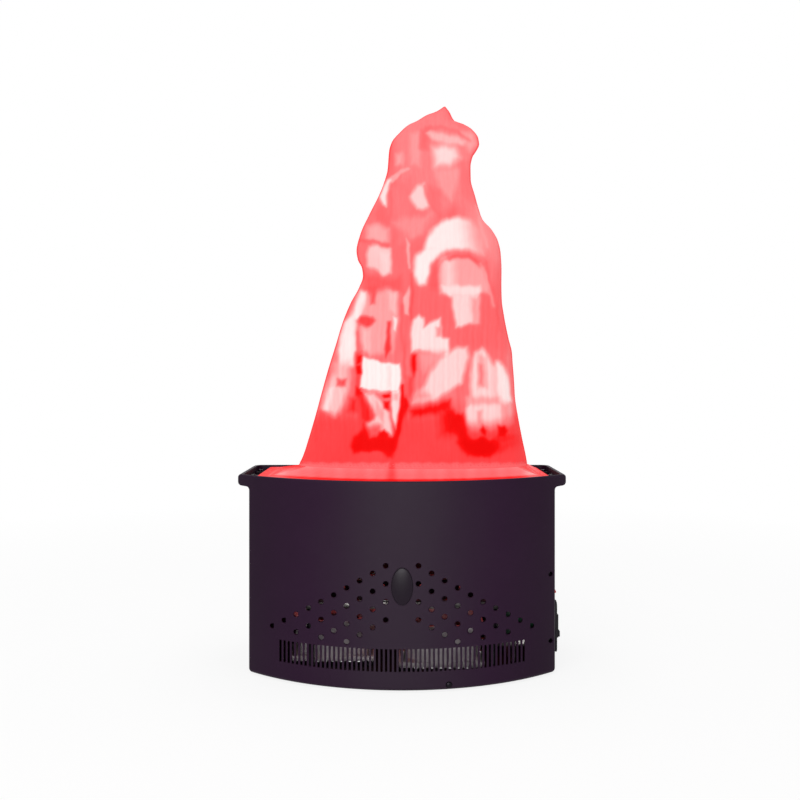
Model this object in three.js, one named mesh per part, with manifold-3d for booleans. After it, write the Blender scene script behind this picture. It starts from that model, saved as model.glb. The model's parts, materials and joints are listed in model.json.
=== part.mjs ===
// Silk flame effect light: a moulded tub with a bowed, pierced front, two fans and two rows of
// upright lamps inside it, and a silk flame on a frame in its open top.
// Lengths are in millimetres. +Z is up and the bowed front faces -Y.
import * as THREE from "three";
import { mergeGeometries, mergeVertices } from "three/addons/utils/BufferGeometryUtils.js";
import Module from "manifold-3d";

const wasm = await Module();
wasm.setup();

// Clearances
const seatGap = 0.3;
const overrun = 1;
const weld = 0.4;

// Housing, a moulded tub that is open above and below
const housingWidth = 290;
const housingDepth = 160;
const housingHeight = 186.5;
const footReach = 1;
const bowRise = 53;
const housingWall = 2.5;
const frontCorner = 5;
const rearCorner = 8;
const bottomRound = 4;
const lipWidth = 7;
const bowSteps = 18;
const cornerSteps = 3;

// Rim, which steps outwards at both sides and leaves a ledge inside
const rimReach = 12.5;
const rimHeight = 10.8;
const rimWall = 5.5;
const rimNose = 3.2;
const rimFillet = 3.4;
const rimTopRound = 1.3;
const ledgeThickness = 3.5;

// Pierced pattern in the bowed front
const ventRadius = 2.5;
const ventBadgeGap = 5.1;
const ventEdge = 24.83;
const ventColumns = 10;
const ventTop = 112.6;
const ventFall = 6.96;
const ventRow = 16.05;
const ventRows = 4;
const ventLowest = 42;
const slotWidth = 2.2;
const slotEdge = 33.075;
const slotCount = 28;
const slotLow = 18.4;
const slotHigh = 38.7;

// Oval badge in the middle of the front
const badgeWidth = 19;
const badgeHeight = 33;
const badgeCentre = 94.4;
const badgeRim = 1.6;
const badgeProud = 0.9;
const badgeDome = 1.1;
const badgeRecess = 1.2;

// Base plate
const baseThickness = 3;
const baseClearance = 1.1;
const baseBlockWidth = 11;
const baseBlockDepth = 6;
const baseBlockHeight = 7;
const intakeWidth = 3;
const intakeCount = 7;
const intakeInset = 12;

// Screws that hold the base plate in the housing
const baseScrewRise = 2;
const baseScrewFront = 41.8;
const baseScrewInset = 45;
const baseScrewHead = 2.8;
const baseScrewHeadDepth = 1.5;
const baseScrewShank = 1.3;
const baseScrewLength = 7.5;

// Feet
const footRadius = 8;
const footTaper = 1.2;
const footInset = 40;
const footFrontInset = 21.9;
const footRearInset = 22;
const footStem = 2.6;
const footBarb = 0.9;
const footBarbHeight = 2.4;

// Fans, which lie flat and blow upwards
const fanSize = 80;
const fanHeight = 38;
const fanFlange = 4.5;
const fanCorner = 4;
const ductMargin = 2;
const fanHoleInset = 4.25;
const fanLeftSpareShare = 0.57;
const fanLeftDepthShare = 0.73;
const fanRightSpareShare = 0.36;
const fanRightDepthShare = 0.39;
const fanBossHeight = 4;
const fanBossRadius = 4.2;
const motorCupRadius = 16;
const motorCupHeight = 7;
const strutWidth = 4;
const strutHeight = 3;
const hubRadius = 17;
const hubHeight = 23;
const hubEdge = 2.5;
const shaftRadius = 2.5;
const shaftDepth = 5;
const bladeCount = 7;
const bladeTipGap = 1.2;
const bladeThickness = 1.6;
const bladeRootChord = 21;
const bladeTipChord = 31;
const bladeRootPitch = 48;
const bladeTipPitch = 30;
const fanScrewHead = 3.8;
const fanScrewHeadHeight = 2.4;
const fanScrewSleeve = 2.9;
const fanScrewSleeveHeight = 8;
const fanScrewShank = 1.7;
const fanScrewReach = 7;

// Rails, boards and lamps
const postGap = 3.5;
const railEnd = 8;
const railWidth = 11;
const railDepth = 6;
const railSheet = 1.2;
const railFrontGap = 2.9;
const railRearGap = 3.8;
const postRadius = 3.5;
const lampRise = 25.3;
const boardThickness = 1.6;
const lampCount = 9;
const lampRadius = 3.9;
const lampHeight = 14;
const lampNeck = 9;
const lampInset = 10;
const lampScrewHead = 2.6;
const lampScrewHeadHeight = 1.6;
const lampScrewShank = 1.3;
const lampScrewLength = 12;

// Power bracket, the driver board on it and its two screws near the right front corner
const bracketScrewInset = 5.2;
const bracketScrewLow = 32.2;
const bracketScrewHigh = 95;
const bracketHole = 2.3;
const bracketBoss = 3.8;
const bracketBossLength = 6;
const bracketShoulder = 2;
const bracketScrewHead = 2;
const bracketScrewHeadHeight = 1.8;
const bracketScrewShank = 1.3;
const bracketScrewLength = 5.2;
const bracketSheet = 1.6;
const bracketWidth = 54;
const bracketMargin = 8;
const driverGap = 4.25;
const driverEndGap = 2.4;
const driverStandoff = 3;
const driverStandoffRadius = 2;
const driverThickness = 1.6;
const driverInset = 5;
const chipWidth = 12;
const chipHeight = 16;
const chipDepth = 4;
const capacitorRadius = 5;
const capacitorLength = 9;
const capacitorEdge = 0.8;

// Transformer on the base plate
const coreWidth = 41;
const coreStack = 16;
const coreHeight = 34;
const coreLimb = 7;
const coreCentreLimb = 13;
const coilClearance = 0.4;
const coilOverhang = 7;
const transformerSpareShare = 0.01;
const transformerRearGap = 28;
const strapFoot = 10;
const strapSheet = 1.2;
const transformerBoss = 3;
const transformerScrewHead = 2.8;
const transformerScrewHeadHeight = 1.8;
const transformerScrewShank = 1.4;
const transformerScrewLength = 6;

// Rocker switch in the right wall
const switchGap = 1.5;
const switchBezelAcross = 15;
const switchBezelTall = 21;
const switchBezel = 1.6;
const switchEdge = 1.2;
const switchBodyDeep = 18;
const switchSideWall = 1.1;
const switchEndWall = 1.5;
const switchFloor = 8.6;
const rockerClearance = 0.4;
const rockerPivotDepth = 3.4;
const rockerTilt = 12;
const rockerReach = 4.4;
const rockerBelly = 4.6;
const rockerPin = 1.2;
const rockerDip = 1.3;

// Mains inlet with its fuse drawer, upright in the right wall
const inletFrontGap = 5.5;
const inletRise = 18;
const inletFlangeEdge = 3;
const inletFlangeEnd = 9;
const inletFlange = 2.5;
const inletFlangeCorner = 4;
const inletWall = 1.3;
const inletDivider = 1.2;
const inletBodyDeep = 23;
const socketAcross = 16;
const socketTall = 24.4;
const socketFloor = 7;
const socketEndWall = 2.8;
const socketKey = 4;
const pinTall = 4;
const pinThick = 2;
const pinShort = 4;
const pinTail = 7;
const pinSpread = 7;
const pinOffset = 2;
const drawerEndWall = 4;
const drawerAcross = 6.6;
const drawerFloor = 4.5;
const drawerCap = 2;
const drawerLip = 1.4;
const fuseRadius = 1.9;
const fuseEndWall = 3;
const fuseBand = 4;
const fuseBandRise = 0.2;
const inletScrewGap = 5;
const inletScrewHead = 2.8;
const inletScrewHeadHeight = 1.5;
const inletScrewShank = 1.5;
const inletScrewLength = 7;

// Silk frame, which rests on the rim's ledges
const frameSideGap = 5.5;
const frameShift = 1.2;
const frameWidth = 8;
const frameThickness = 4;
const frameClearance = 2;
const lugWidth = 12;
const lugThickness = 2;
const lugGap = 6.5;
const lugFrontInset = 39;
const lugRearInset = 20;
const frameScrewHead = 2.8;
const frameScrewHeadHeight = 1.6;
const frameScrewShank = 1.4;
const frameScrewLength = 4.5;

// Silk flame and the silk skirt that it rises from
const silk = 0.8;
const skirtRise = 9.6;
const flameHeight = 345;
const flameLeftGap = 29.9;
const flameRightGap = 11.1;
const flameFrontGap = 27.5;
const flameRearGap = 17.5;
const flameSteps = 24;
const flameTaper = 0.7;
const pleatDepth = 2.6;
const seamDepth = 7;
const hoodDepth = 6;
const hemLap = 0.8;

// Harnesses
const mainsWire = 2.2;
const lampWire = 1.7;
const fanWire = 1.3;
const wireSides = 6;
const wireLead = 5;

// Levels and edges that follow from the sizes above
const front = -housingDepth / 2;
const rear = housingDepth / 2;
const half = housingWidth / 2;
const sideFront = front + bowRise;
const bowRadius = (half ** 2 + bowRise ** 2) / (2 * bowRise);
const bowCentre = front + bowRadius;
const tubBottom = footReach;
const rimTop = tubBottom + housingHeight;
const rimLow = rimTop - rimHeight;
const rimHalf = half + rimReach;
const ledgeTop = rimLow + ledgeThickness;
const ventFirst = badgeWidth / 2 + ventBadgeGap;
const ventPitch = (half - ventEdge - ventFirst) / (ventColumns - 1);
const slotPitch = (half - slotEdge) / (slotCount - 1 / 2);

// Base plate and feet
const baseBottom = tubBottom + housingWall + seatGap;
const baseTop = baseBottom + baseThickness;
const baseInset = housingWall + baseClearance;
const baseScrewHeight = baseBottom + baseScrewRise;
const baseScrewRear = half - baseScrewInset;
const footAcross = half - footInset;
const footFront = wallFront(footAcross, baseInset) + footFrontInset;
const footRear = rear - footRearInset;

// Fans and transformer, which share the room that is left on the floor
const fanBottom = baseTop + fanBossHeight + seatGap;
const fanTop = fanBottom + fanHeight;
const rotorBottom = fanBottom + motorCupHeight + bladeTipGap;
const ductRadius = fanSize / 2 - ductMargin;
const fanHolePitch = fanSize - 2 * fanHoleInset;
const intakeLength = fanSize - 2 * intakeInset;
const intakePitch = intakeLength / intakeCount;
const innerHalf = half - housingWall;
const spareAcross = 2 * (innerHalf - fanSize - strapFoot) - coreWidth;
const fanLeftAcross = fanSize / 2 - innerHalf + fanLeftSpareShare * spareAcross;
const fanRightAcross = fanLeftAcross + fanSize + fanRightSpareShare * spareAcross;
const transformerLeft = fanRightAcross + fanSize / 2 + transformerSpareShare * spareAcross;
const transformerAcross = transformerLeft + strapFoot + coreWidth / 2;
const transformerBack = rear - transformerRearGap - coreStack / 2;
const railRearBack = rear - housingWall - railRearGap - railWidth / 2;
const fanLeftBack = fanPlace(fanLeftAcross - fanSize / 2, fanLeftDepthShare);
const fanRightBack = fanPlace(fanRightAcross + fanSize / 2, fanRightDepthShare);
const coreBottom = baseTop + transformerBoss + seatGap;
const coilReach = coreWidth / 2 - coreLimb - coilClearance;
const coilFront = transformerBack - coreStack / 2 - coilOverhang;
const coilMiddle = coreBottom + coreHeight / 2;

// Lamp rows
const railAcross = fanRightAcross + fanSize / 2 + postGap + postRadius;
const railLength = 2 * (railAcross + railEnd);
const railFrontBack = wallFront(railLength / 2, housingWall) + railFrontGap + railWidth / 2;
const lampSpread = 2 * (railAcross - lampInset);
const boardLevel = fanTop + lampRise;
const railTop = boardLevel - seatGap;
const postTop = railTop - railSheet - seatGap;

// Power bracket and driver board
const bracketScrewAcross = half - bracketScrewInset;
const bracketBossEnd = wallFront(bracketScrewAcross, housingWall) + bracketBossLength;
const bracketFront = bracketBossEnd + seatGap;
const bracketRight = innerHalf - overrun;
const bracketLeft = bracketRight - bracketWidth;
const bracketMiddle = (bracketScrewLow + bracketScrewHigh) / 2;
const driverRoom = bracketScrewAcross - bracketBoss - bracketLeft;
const driverWidth = driverRoom - 2 * driverGap;
const driverHeight = bracketScrewHigh - bracketScrewLow - 2 * driverEndGap;
const driverAcross = bracketLeft + driverRoom / 2;
const driverBack = bracketFront - driverStandoff - seatGap;
const driverFace = driverBack - driverThickness;

// Inlet and switch, one above the other behind the right front corner
const inletSeat = half + seatGap;
const inletFace = inletSeat + inletFlange;
const inletBodyAcross = 2 * (inletWall + seatGap) + inletDivider + socketAcross + drawerAcross;
const inletBodyTall = socketTall + 2 * socketEndWall;
const inletFlangeAcross = inletBodyAcross + 2 * inletFlangeEdge;
const inletFlangeTall = inletBodyTall + 2 * inletFlangeEnd;
const inletScrewPitch = inletBodyTall + 2 * inletScrewGap;
const inletBack = sideFront + inletFrontGap + inletFlangeAcross / 2;
const inletHeight = inletRise + inletFlangeTall / 2;
const socketShift = (inletBodyAcross - socketAcross) / 2 - inletWall;
const socketDeep = inletFlange + inletBodyDeep - socketFloor;
const pinLength = socketDeep - pinShort;
const pinRowBack = inletBack + socketShift - pinOffset;
const pinEarthBack = inletBack + socketShift + pinOffset;
const drawerShift = inletWall + seatGap + (drawerAcross - inletBodyAcross) / 2;
const drawerDeep = inletFlange + inletBodyDeep - drawerFloor;
const drawerTall = inletBodyTall - 2 * drawerEndWall;
const fuseLength = drawerTall - 2 * fuseEndWall;
const switchBack = inletBack;
const switchHeight = inletHeight + (inletFlangeTall + switchBezelTall) / 2 + switchGap;
const switchBodyAcross = switchBezelAcross - 2 * switchEdge;
const switchBodyTall = switchBezelTall - 2 * switchEdge;
const switchPocketAcross = switchBodyAcross - 2 * switchSideWall;
const switchPocketTall = switchBodyTall - 2 * switchEndWall;
const switchPocketDeep = switchBezel + switchBodyDeep - switchFloor;

// Silk frame, skirt and flame
const frameHalf = half - frameSideGap;
const frameInset = housingWall + frameClearance;
const frameBottom = ledgeTop + seatGap;
const frameTop = frameBottom + frameThickness;
const lugReach = rimHalf - lugGap;
const lugFront = sideFront + lugFrontInset;
const lugRear = rear - lugRearInset;
const skirtBottom = frameTop + seatGap;
const skirtSewn = skirtBottom + skirtRise;
const flameBase = skirtSewn + silk + seatGap;
const flameHalfWidth = frameHalf - frameWidth - (flameLeftGap + flameRightGap) / 2;
const flameAcross = frameShift + (flameLeftGap - flameRightGap) / 2;
const flameHalfDepth = housingDepth / 2 - frameInset - frameWidth - (flameFrontGap + flameRearGap) / 2;
const flameBack = (flameFrontGap - flameRearGap) / 2;

// The share of a rounding's radius that its middle point stands back from the corner
const roundShare = 1 - Math.SQRT1_2;
// The share of the bow's angle that its evenly spaced points cover
const bowShare = 0.95;

const housingLook = look(0x34283a, 0.42, 0);
const trimLook = look(0x22122a, 0.35, 0);
const blackLook = look(0x16131a, 0.5, 0);
const rubberLook = look(0x141316, 0.85, 0);
const screwLook = look(0x1b191d, 0.35, 0.8);
const steelLook = look(0xa9a6a8, 0.4, 0.9);
const fanLook = look(0xb4aaae, 0.45, 0.6);
const boardLook = look(0x1c4a33, 0.5, 0);
const lampLook = look(0xe9b4b8, 0.25, 0);
const copperLook = look(0xb06a3a, 0.4, 0.6);
const wireLook = look(0x4a4048, 0.6, 0);
const rockerLook = look(0xc01414, 0.3, 0);
const brassLook = look(0xc9a864, 0.3, 0.9);
const glassLook = look(0xd8d4cc, 0.1, 0);
const silkLook = look(0xff6e6e, 0.7, 0);

const assembly = new THREE.Group();

// Materials and nodes

function look(color, roughness, metalness) {
  return new THREE.MeshStandardMaterial({ color, roughness, metalness });
}

function addPiece(name, shape, material) {
  const mesh = new THREE.Mesh(fromSolid(toSolid(shape)), material);
  mesh.name = name;
  assembly.add(mesh);
}

// Leaves a geometry's positions alone, merges its shared vertices and drops faces with no area.
function bare(geometry) {
  const plain = geometry.index ? geometry.toNonIndexed() : geometry.clone();
  plain.deleteAttribute("normal");
  plain.deleteAttribute("uv");
  const merged = mergeVertices(plain);
  const kept = [];
  const corners = merged.index.array;
  for (let i = 0; i < corners.length; i += 3) {
    const [a, b, c] = [corners[i], corners[i + 1], corners[i + 2]];
    if (a !== b && b !== c && c !== a) kept.push(a, b, c);
  }
  merged.setIndex(kept);
  return merged;
}

// Solids

function toSolid(shape) {
  if (!shape.isBufferGeometry) return shape;
  const plain = bare(shape);
  const mesh = new wasm.Mesh({
    numProp: 3,
    vertProperties: new Float32Array(plain.attributes.position.array),
    triVerts: new Uint32Array(plain.index.array),
  });
  return new wasm.Manifold(mesh);
}

function fromSolid(solid) {
  const mesh = solid.getMesh();
  const geometry = new THREE.BufferGeometry();
  geometry.setAttribute("position", new THREE.BufferAttribute(new Float32Array(mesh.vertProperties), 3));
  geometry.setIndex(Array.from(mesh.triVerts));
  return geometry;
}

function join(first, ...others) {
  return others.reduce((whole, other) => whole.add(toSolid(other)), toSolid(first));
}

function cut(first, ...tools) {
  return tools.reduce((whole, tool) => whole.subtract(toSolid(tool)), toSolid(first));
}

function block(low, high) {
  const size = low.map((value, i) => high[i] - value);
  const centre = low.map((value, i) => (high[i] + value) / 2);
  return new THREE.BoxGeometry(...size).translate(...centre);
}

// A box by its centre in two directions and its two ends in the third, which is X.
function crossBlock(lowX, highX, y, z, across, tall) {
  return block([lowX, y - across / 2, z - tall / 2], [highX, y + across / 2, z + tall / 2]);
}

function rod(radius, from, to, sides = 8) {
  const a = new THREE.Vector3(...from);
  const b = new THREE.Vector3(...to);
  const along = b.clone().sub(a);
  const geometry = new THREE.CylinderGeometry(radius, radius, along.length(), sides);
  const turn = new THREE.Quaternion().setFromUnitVectors(new THREE.Vector3(0, 1, 0), along.normalize());
  return geometry.applyQuaternion(turn).translate(...a.add(b).divideScalar(2).toArray());
}

// A turned solid: pairs of radius and height along the direction from the foot point.
function turned(profile, foot, direction, sides = 8) {
  const points = profile.map(([radius, height]) => new THREE.Vector2(radius, height));
  const turn = new THREE.Quaternion().setFromUnitVectors(
    new THREE.Vector3(0, 1, 0),
    new THREE.Vector3(...direction)
  );
  return new THREE.LatheGeometry(points, sides).applyQuaternion(turn).translate(...foot);
}

// A solid between rings of equally many points, each ring counter-clockwise seen from its far end.
function loft(rings, looped = false) {
  const count = rings[0].length;
  const points = rings.flat();
  const faces = [];
  const strips = looped ? rings.length : rings.length - 1;
  for (let r = 0; r < strips; r += 1) {
    const lower = r * count;
    const upper = ((r + 1) % rings.length) * count;
    for (let i = 0; i < count; i += 1) {
      const next = (i + 1) % count;
      faces.push(lower + i, lower + next, upper + next);
      faces.push(lower + i, upper + next, upper + i);
    }
  }
  if (!looped) {
    closeRing(points, faces, rings[0], 0, true);
    closeRing(points, faces, rings[rings.length - 1], (rings.length - 1) * count, false);
  }
  const geometry = new THREE.BufferGeometry();
  geometry.setAttribute("position", new THREE.Float32BufferAttribute(points.flat(), 3));
  geometry.setIndex(faces);
  return geometry;
}

function closeRing(points, faces, ring, start, atFoot) {
  const middle = [0, 1, 2].map((axis) => ring.reduce((sum, point) => sum + point[axis], 0) / ring.length);
  const centre = points.push(middle) - 1;
  for (let i = 0; i < ring.length; i += 1) {
    const here = start + i;
    const next = start + ((i + 1) % ring.length);
    if (atFoot) faces.push(centre, next, here);
    else faces.push(centre, here, next);
  }
}

function ellipseRing(halfX, halfY, level, count) {
  return Array.from({ length: count }, (_, i) => {
    const angle = (2 * Math.PI * i) / count;
    return [halfX * Math.cos(angle), halfY * Math.sin(angle), level];
  });
}

// The outline of a rectangle with rounded corners, as a shape around the origin.
function roundedShape(width, height, radius) {
  const x = width / 2 - radius;
  const y = height / 2 - radius;
  const shape = new THREE.Shape();
  shape.absarc(x, y, radius, 0, Math.PI / 2);
  shape.absarc(-x, y, radius, Math.PI / 2, Math.PI);
  shape.absarc(-x, -y, radius, Math.PI, Math.PI * 1.5);
  shape.absarc(x, -y, radius, Math.PI * 1.5, Math.PI * 2);
  return shape;
}

function extruded(shape, depth, curveSegments = 3) {
  return new THREE.ExtrudeGeometry(shape, { depth, bevelEnabled: false, curveSegments });
}

// A screw along a direction, from under its head: a domed head and a plain shank.
function screw(name, foot, direction, headRadius, headHeight, shankRadius, length, sides = 8) {
  const profile = [
    [0, -length],
    [shankRadius, -length],
    [shankRadius, 0],
    [headRadius, 0],
    [headRadius * 0.82, headHeight],
    [0, headHeight],
  ];
  addPiece(name, turned(profile, foot, direction, sides), screwLook);
}

// The plan of the housing

// The y of the bowed front at a place across, moved back by an inset into the wall.
function wallFront(x, inset = 0) {
  return bowCentre - Math.sqrt((bowRadius - inset) ** 2 - x ** 2);
}

function bowAngle(side, inset, round) {
  return Math.asin((side - round) / (bowRadius - inset - round));
}

// The plan outline at a level: the bow, then round the right side, the rear and the left side.
function plan(side, inset, level) {
  const tight = frontCorner / 4;
  const nose = Math.max(frontCorner - inset, tight);
  const heel = Math.max(rearCorner - inset, tight);
  const bow = bowRadius - inset;
  const own = bowAngle(side, inset, nose);
  const shared = bowShare * bowAngle(half, 0, frontCorner);
  const noseBack = bowCentre - (bow - nose) * Math.cos(own);
  const points = [];
  const arc = (x, y, radius, from, to, steps, first, last) => {
    for (let i = first; i <= last; i += 1) {
      const angle = from + ((to - from) * i) / steps;
      points.push([x + radius * Math.sin(angle), y - radius * Math.cos(angle), level]);
    }
  };
  arc(0, bowCentre, bow, -shared, shared, bowSteps, 0, bowSteps);
  arc(side - nose, noseBack, nose, own, Math.PI / 2, cornerSteps, 0, cornerSteps);
  arc(side - heel, rear - inset - heel, heel, Math.PI / 2, Math.PI, cornerSteps, 0, cornerSteps);
  arc(heel - side, rear - inset - heel, heel, Math.PI, Math.PI * 1.5, cornerSteps, 0, cornerSteps);
  arc(nose - side, noseBack, nose, Math.PI * 1.5, Math.PI * 2 - own, cornerSteps, 0, cornerSteps);
  return points;
}

function prism(side, inset, low, high) {
  return loft([plan(side, inset, low), plan(side, inset, high)]);
}

// Housing

function buildHousing() {
  const bottomMid = bottomRound * roundShare;
  const filletMid = rimFillet * roundShare;
  const noseMid = rimNose * roundShare;
  const rimUnder = rimLow + seatGap;
  const skin = loft([
    plan(half - bottomRound, bottomRound, tubBottom),
    plan(half - bottomMid, bottomMid, tubBottom + bottomMid),
    plan(half, 0, tubBottom + bottomRound),
    plan(half, 0, rimLow - rimFillet),
    plan(half + filletMid, 0, rimLow - filletMid),
    plan(half + rimFillet, 0, rimLow),
    plan(rimHalf - rimNose, 0, rimUnder),
    plan(rimHalf - noseMid, 0, rimUnder + noseMid),
    plan(rimHalf, 0, rimUnder + rimNose),
    plan(rimHalf, 0, rimTop - rimNose),
    plan(rimHalf - noseMid, rimTopRound * roundShare, rimTop - noseMid),
    plan(rimHalf - rimNose, rimTopRound, rimTop),
  ]);
  const innerRound = bottomRound - housingWall;
  const innerMid = innerRound * roundShare;
  const cavity = loft([
    plan(half - bottomRound, bottomRound, tubBottom + housingWall),
    plan(half - housingWall - innerMid, housingWall + innerMid, tubBottom + housingWall + innerMid),
    plan(half - housingWall, housingWall, tubBottom + bottomRound),
    plan(half - housingWall, housingWall, rimTop + overrun),
  ]);
  const lipHole = prism(half - lipWidth, lipWidth, tubBottom - overrun, tubBottom + housingWall + weld);
  const rimCavity = prism(rimHalf - rimWall, housingWall, ledgeTop, rimTop + overrun);
  let tub = cut(skin, cavity, lipHole, rimCavity);
  tub = join(tub, ...bracketScrewHeights().map(bracketScrewBoss));
  tub = cut(tub, mergeGeometries([...vents(), ...slots()]), badgeHole(badgeRim), badgeSeat());
  tub = cut(tub, ...baseScrews().flatMap(baseScrewHole), ...bracketScrewHeights().flatMap(bracketScrewHole));
  tub = cut(tub, switchHole(), ...inletHoles(), ...frameScrews().map(frameScrewHole));
  addPiece("housing_shell", tub, housingLook);
}

// A tool that goes through the bowed front along Y, at a place across.
function throughFront(x) {
  return [wallFront(x) - overrun, wallFront(Math.abs(x) + slotPitch, housingWall) + overrun];
}

function vents() {
  const tools = [];
  for (let column = 0; column < ventColumns; column += 1) {
    const x = ventFirst + column * ventPitch;
    for (let row = 0; row < ventRows; row += 1) {
      const z = ventTop - column * ventFall - row * ventRow;
      if (z < ventLowest) continue;
      const [outside, inside] = throughFront(x);
      tools.push(rod(ventRadius, [x, outside, z], [x, inside, z]));
      tools.push(rod(ventRadius, [-x, outside, z], [-x, inside, z]));
    }
  }
  return tools;
}

function slots() {
  const tools = [];
  for (let i = 0; i < slotCount; i += 1) {
    const x = slotPitch * (i + 1 / 2);
    const [outside, inside] = throughFront(x);
    for (const centre of [x, -x]) {
      const edge = slotWidth / 2;
      tools.push(block([centre - edge, outside, slotLow], [centre + edge, inside, slotHigh]));
    }
  }
  return tools;
}

function ovalTool(grow, from, to, count = 16) {
  const rings = [from, to].map((y) => ellipseRing(badgeWidth / 2 + grow, badgeHeight / 2 + grow, -y, count));
  return loft(rings.reverse()).rotateX(Math.PI / 2).translate(0, 0, badgeCentre);
}

function badgeHole(rim) {
  return ovalTool(seatGap - rim, front - overrun, front + housingWall + overrun);
}

function badgeSeat() {
  return ovalTool(seatGap, front - overrun, front + badgeRecess + seatGap);
}

function buildBadge() {
  const seat = -(front + badgeRecess);
  const back = -(front + housingWall);
  const face = badgeProud - front;
  const level = (inset, z) => ellipseRing(badgeWidth / 2 - inset, badgeHeight / 2 - inset, z, 16);
  const oval = loft([
    level(badgeRim, back),
    level(badgeRim, seat - seatGap / 2),
    level(0, seat),
    level(0, face - badgeProud / 2),
    level(badgeRim / 2, face),
    level(badgeWidth / 4, face + badgeDome * 0.8),
    level(badgeWidth * 0.4, face + badgeDome),
  ]);
  addPiece("badge_oval", oval.rotateX(Math.PI / 2).translate(0, 0, badgeCentre), trimLook);
}

// Base plate, its screws and its feet

function baseScrews() {
  return [
    { name: "base_screw_front", x: baseScrewFront, y: wallFront(baseScrewFront), inwards: 1 },
    { name: "base_screw_rear_left", x: -baseScrewRear, y: rear, inwards: -1 },
    { name: "base_screw_rear_right", x: baseScrewRear, y: rear, inwards: -1 },
  ];
}

function baseScrewHole({ x, y, inwards }) {
  const at = (depth) => [x, y + inwards * depth, baseScrewHeight];
  const recess = baseScrewHeadDepth + seatGap;
  return [
    rod(baseScrewHead + seatGap, at(-overrun), at(recess)),
    rod(baseScrewShank + seatGap, at(0), at(housingWall + overrun)),
  ];
}

function baseBlock({ x, inwards }) {
  const face = inwards > 0 ? wallFront(Math.abs(x) + baseBlockWidth / 2, baseInset) : rear - baseInset;
  const back = face + inwards * baseBlockDepth;
  return block(
    [x - baseBlockWidth / 2, Math.min(face, back), baseBottom],
    [x + baseBlockWidth / 2, Math.max(face, back), baseBottom + baseBlockHeight]
  );
}

function feet() {
  return [
    { name: "foot_front_left", x: -footAcross, y: footFront },
    { name: "foot_front_right", x: footAcross, y: footFront },
    { name: "foot_rear_left", x: -footAcross, y: footRear },
    { name: "foot_rear_right", x: footAcross, y: footRear },
  ];
}

function buildBase() {
  let plate = toSolid(prism(half - baseInset, baseInset, baseBottom, baseTop));
  const stands = [];
  for (const fan of fans()) {
    for (const [x, y] of fanCorners(fan)) {
      stands.push(rod(fanBossRadius, [x, y, baseBottom], [x, y, baseTop + fanBossHeight]));
    }
  }
  for (const row of lampRows()) {
    for (const x of [-railAcross, railAcross]) {
      stands.push(rod(postRadius, [x, row.back, baseBottom], [x, row.back, postTop]));
    }
  }
  for (const x of strapCentres()) {
    const top = baseTop + transformerBoss;
    stands.push(rod(strapFoot / 2, [x, transformerBack, baseBottom], [x, transformerBack, top]));
  }
  plate = join(plate, ...stands, ...baseScrews().map(baseBlock));
  const holes = [];
  for (const { x, y, inwards } of baseScrews()) {
    const near = [x, y, baseScrewHeight];
    const far = [x, y + inwards * (baseInset + baseBlockDepth) * 2, baseScrewHeight];
    holes.push(rod(baseScrewShank + seatGap, near, far));
  }
  for (const { x, y } of feet()) {
    holes.push(rod(footStem + seatGap, [x, y, baseBottom - overrun], [x, y, baseTop + overrun]));
  }
  for (const fan of fans()) {
    for (const [x, y] of fanCorners(fan)) {
      const bottom = fanBottom + fanFlange - fanScrewReach - fanFlange - overrun;
      holes.push(rod(fanScrewShank + seatGap, [x, y, bottom], [x, y, fanBottom]));
    }
    for (let i = 0; i < intakeCount; i += 1) {
      const x = fan.x + (i - (intakeCount - 1) / 2) * intakePitch;
      const [low, high] = [baseBottom - overrun, baseTop + overrun];
      const end = intakeLength / 2;
      holes.push(block([x - intakeWidth / 2, fan.y - end, low], [x + intakeWidth / 2, fan.y + end, high]));
    }
  }
  for (const row of lampRows()) {
    for (const x of [-railAcross, railAcross]) {
      const bottom = postTop - lampScrewLength;
      holes.push(rod(lampScrewShank + seatGap, [x, row.back, bottom], [x, row.back, railTop]));
    }
  }
  for (const x of strapCentres()) {
    const bottom = coreBottom + strapSheet - transformerScrewLength - seatGap;
    const [near, far] = [bottom, coreBottom].map((level) => [x, transformerBack, level]);
    holes.push(rod(transformerScrewShank + seatGap, near, far));
  }
  addPiece("base_plate", cut(plate, mergeGeometries(holes)), blackLook);
  for (const { name, x, y, inwards } of baseScrews()) {
    const foot = [x, y + inwards * baseScrewHeadDepth, baseScrewHeight];
    screw(name, foot, [0, -inwards, 0], baseScrewHead, baseScrewHeadDepth, baseScrewShank, baseScrewLength);
  }
  for (const { name, x, y } of feet()) buildFoot(name, x, y);
}

function buildFoot(name, x, y) {
  const top = baseBottom - seatGap;
  const barb = baseTop + seatGap;
  const profile = [
    [0, 0],
    [footRadius - footTaper, 0],
    [footRadius, top],
    [footStem, top],
    [footStem, barb],
    [footStem + footBarb, barb],
    [footStem - footBarb, barb + footBarbHeight],
    [0, barb + footBarbHeight],
  ];
  addPiece(name, turned(profile, [x, y, 0], [0, 0, 1]), rubberLook);
}

// Fans

// The y of a fan's middle: a share of the free depth between the front wall, where it comes
// nearest the fan's outer corner, and the rear posts.
function fanPlace(corner, share) {
  const low = wallFront(corner, housingWall);
  const high = railRearBack - postRadius;
  return low + fanSize / 2 + share * (high - low - fanSize);
}

function fans() {
  return [
    { side: "left", x: fanLeftAcross, y: fanLeftBack },
    { side: "right", x: fanRightAcross, y: fanRightBack },
  ];
}

function fanCorners({ x, y }) {
  const reach = fanHolePitch / 2;
  return [
    [x - reach, y - reach],
    [x + reach, y - reach],
    [x - reach, y + reach],
    [x + reach, y + reach],
  ];
}

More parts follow.
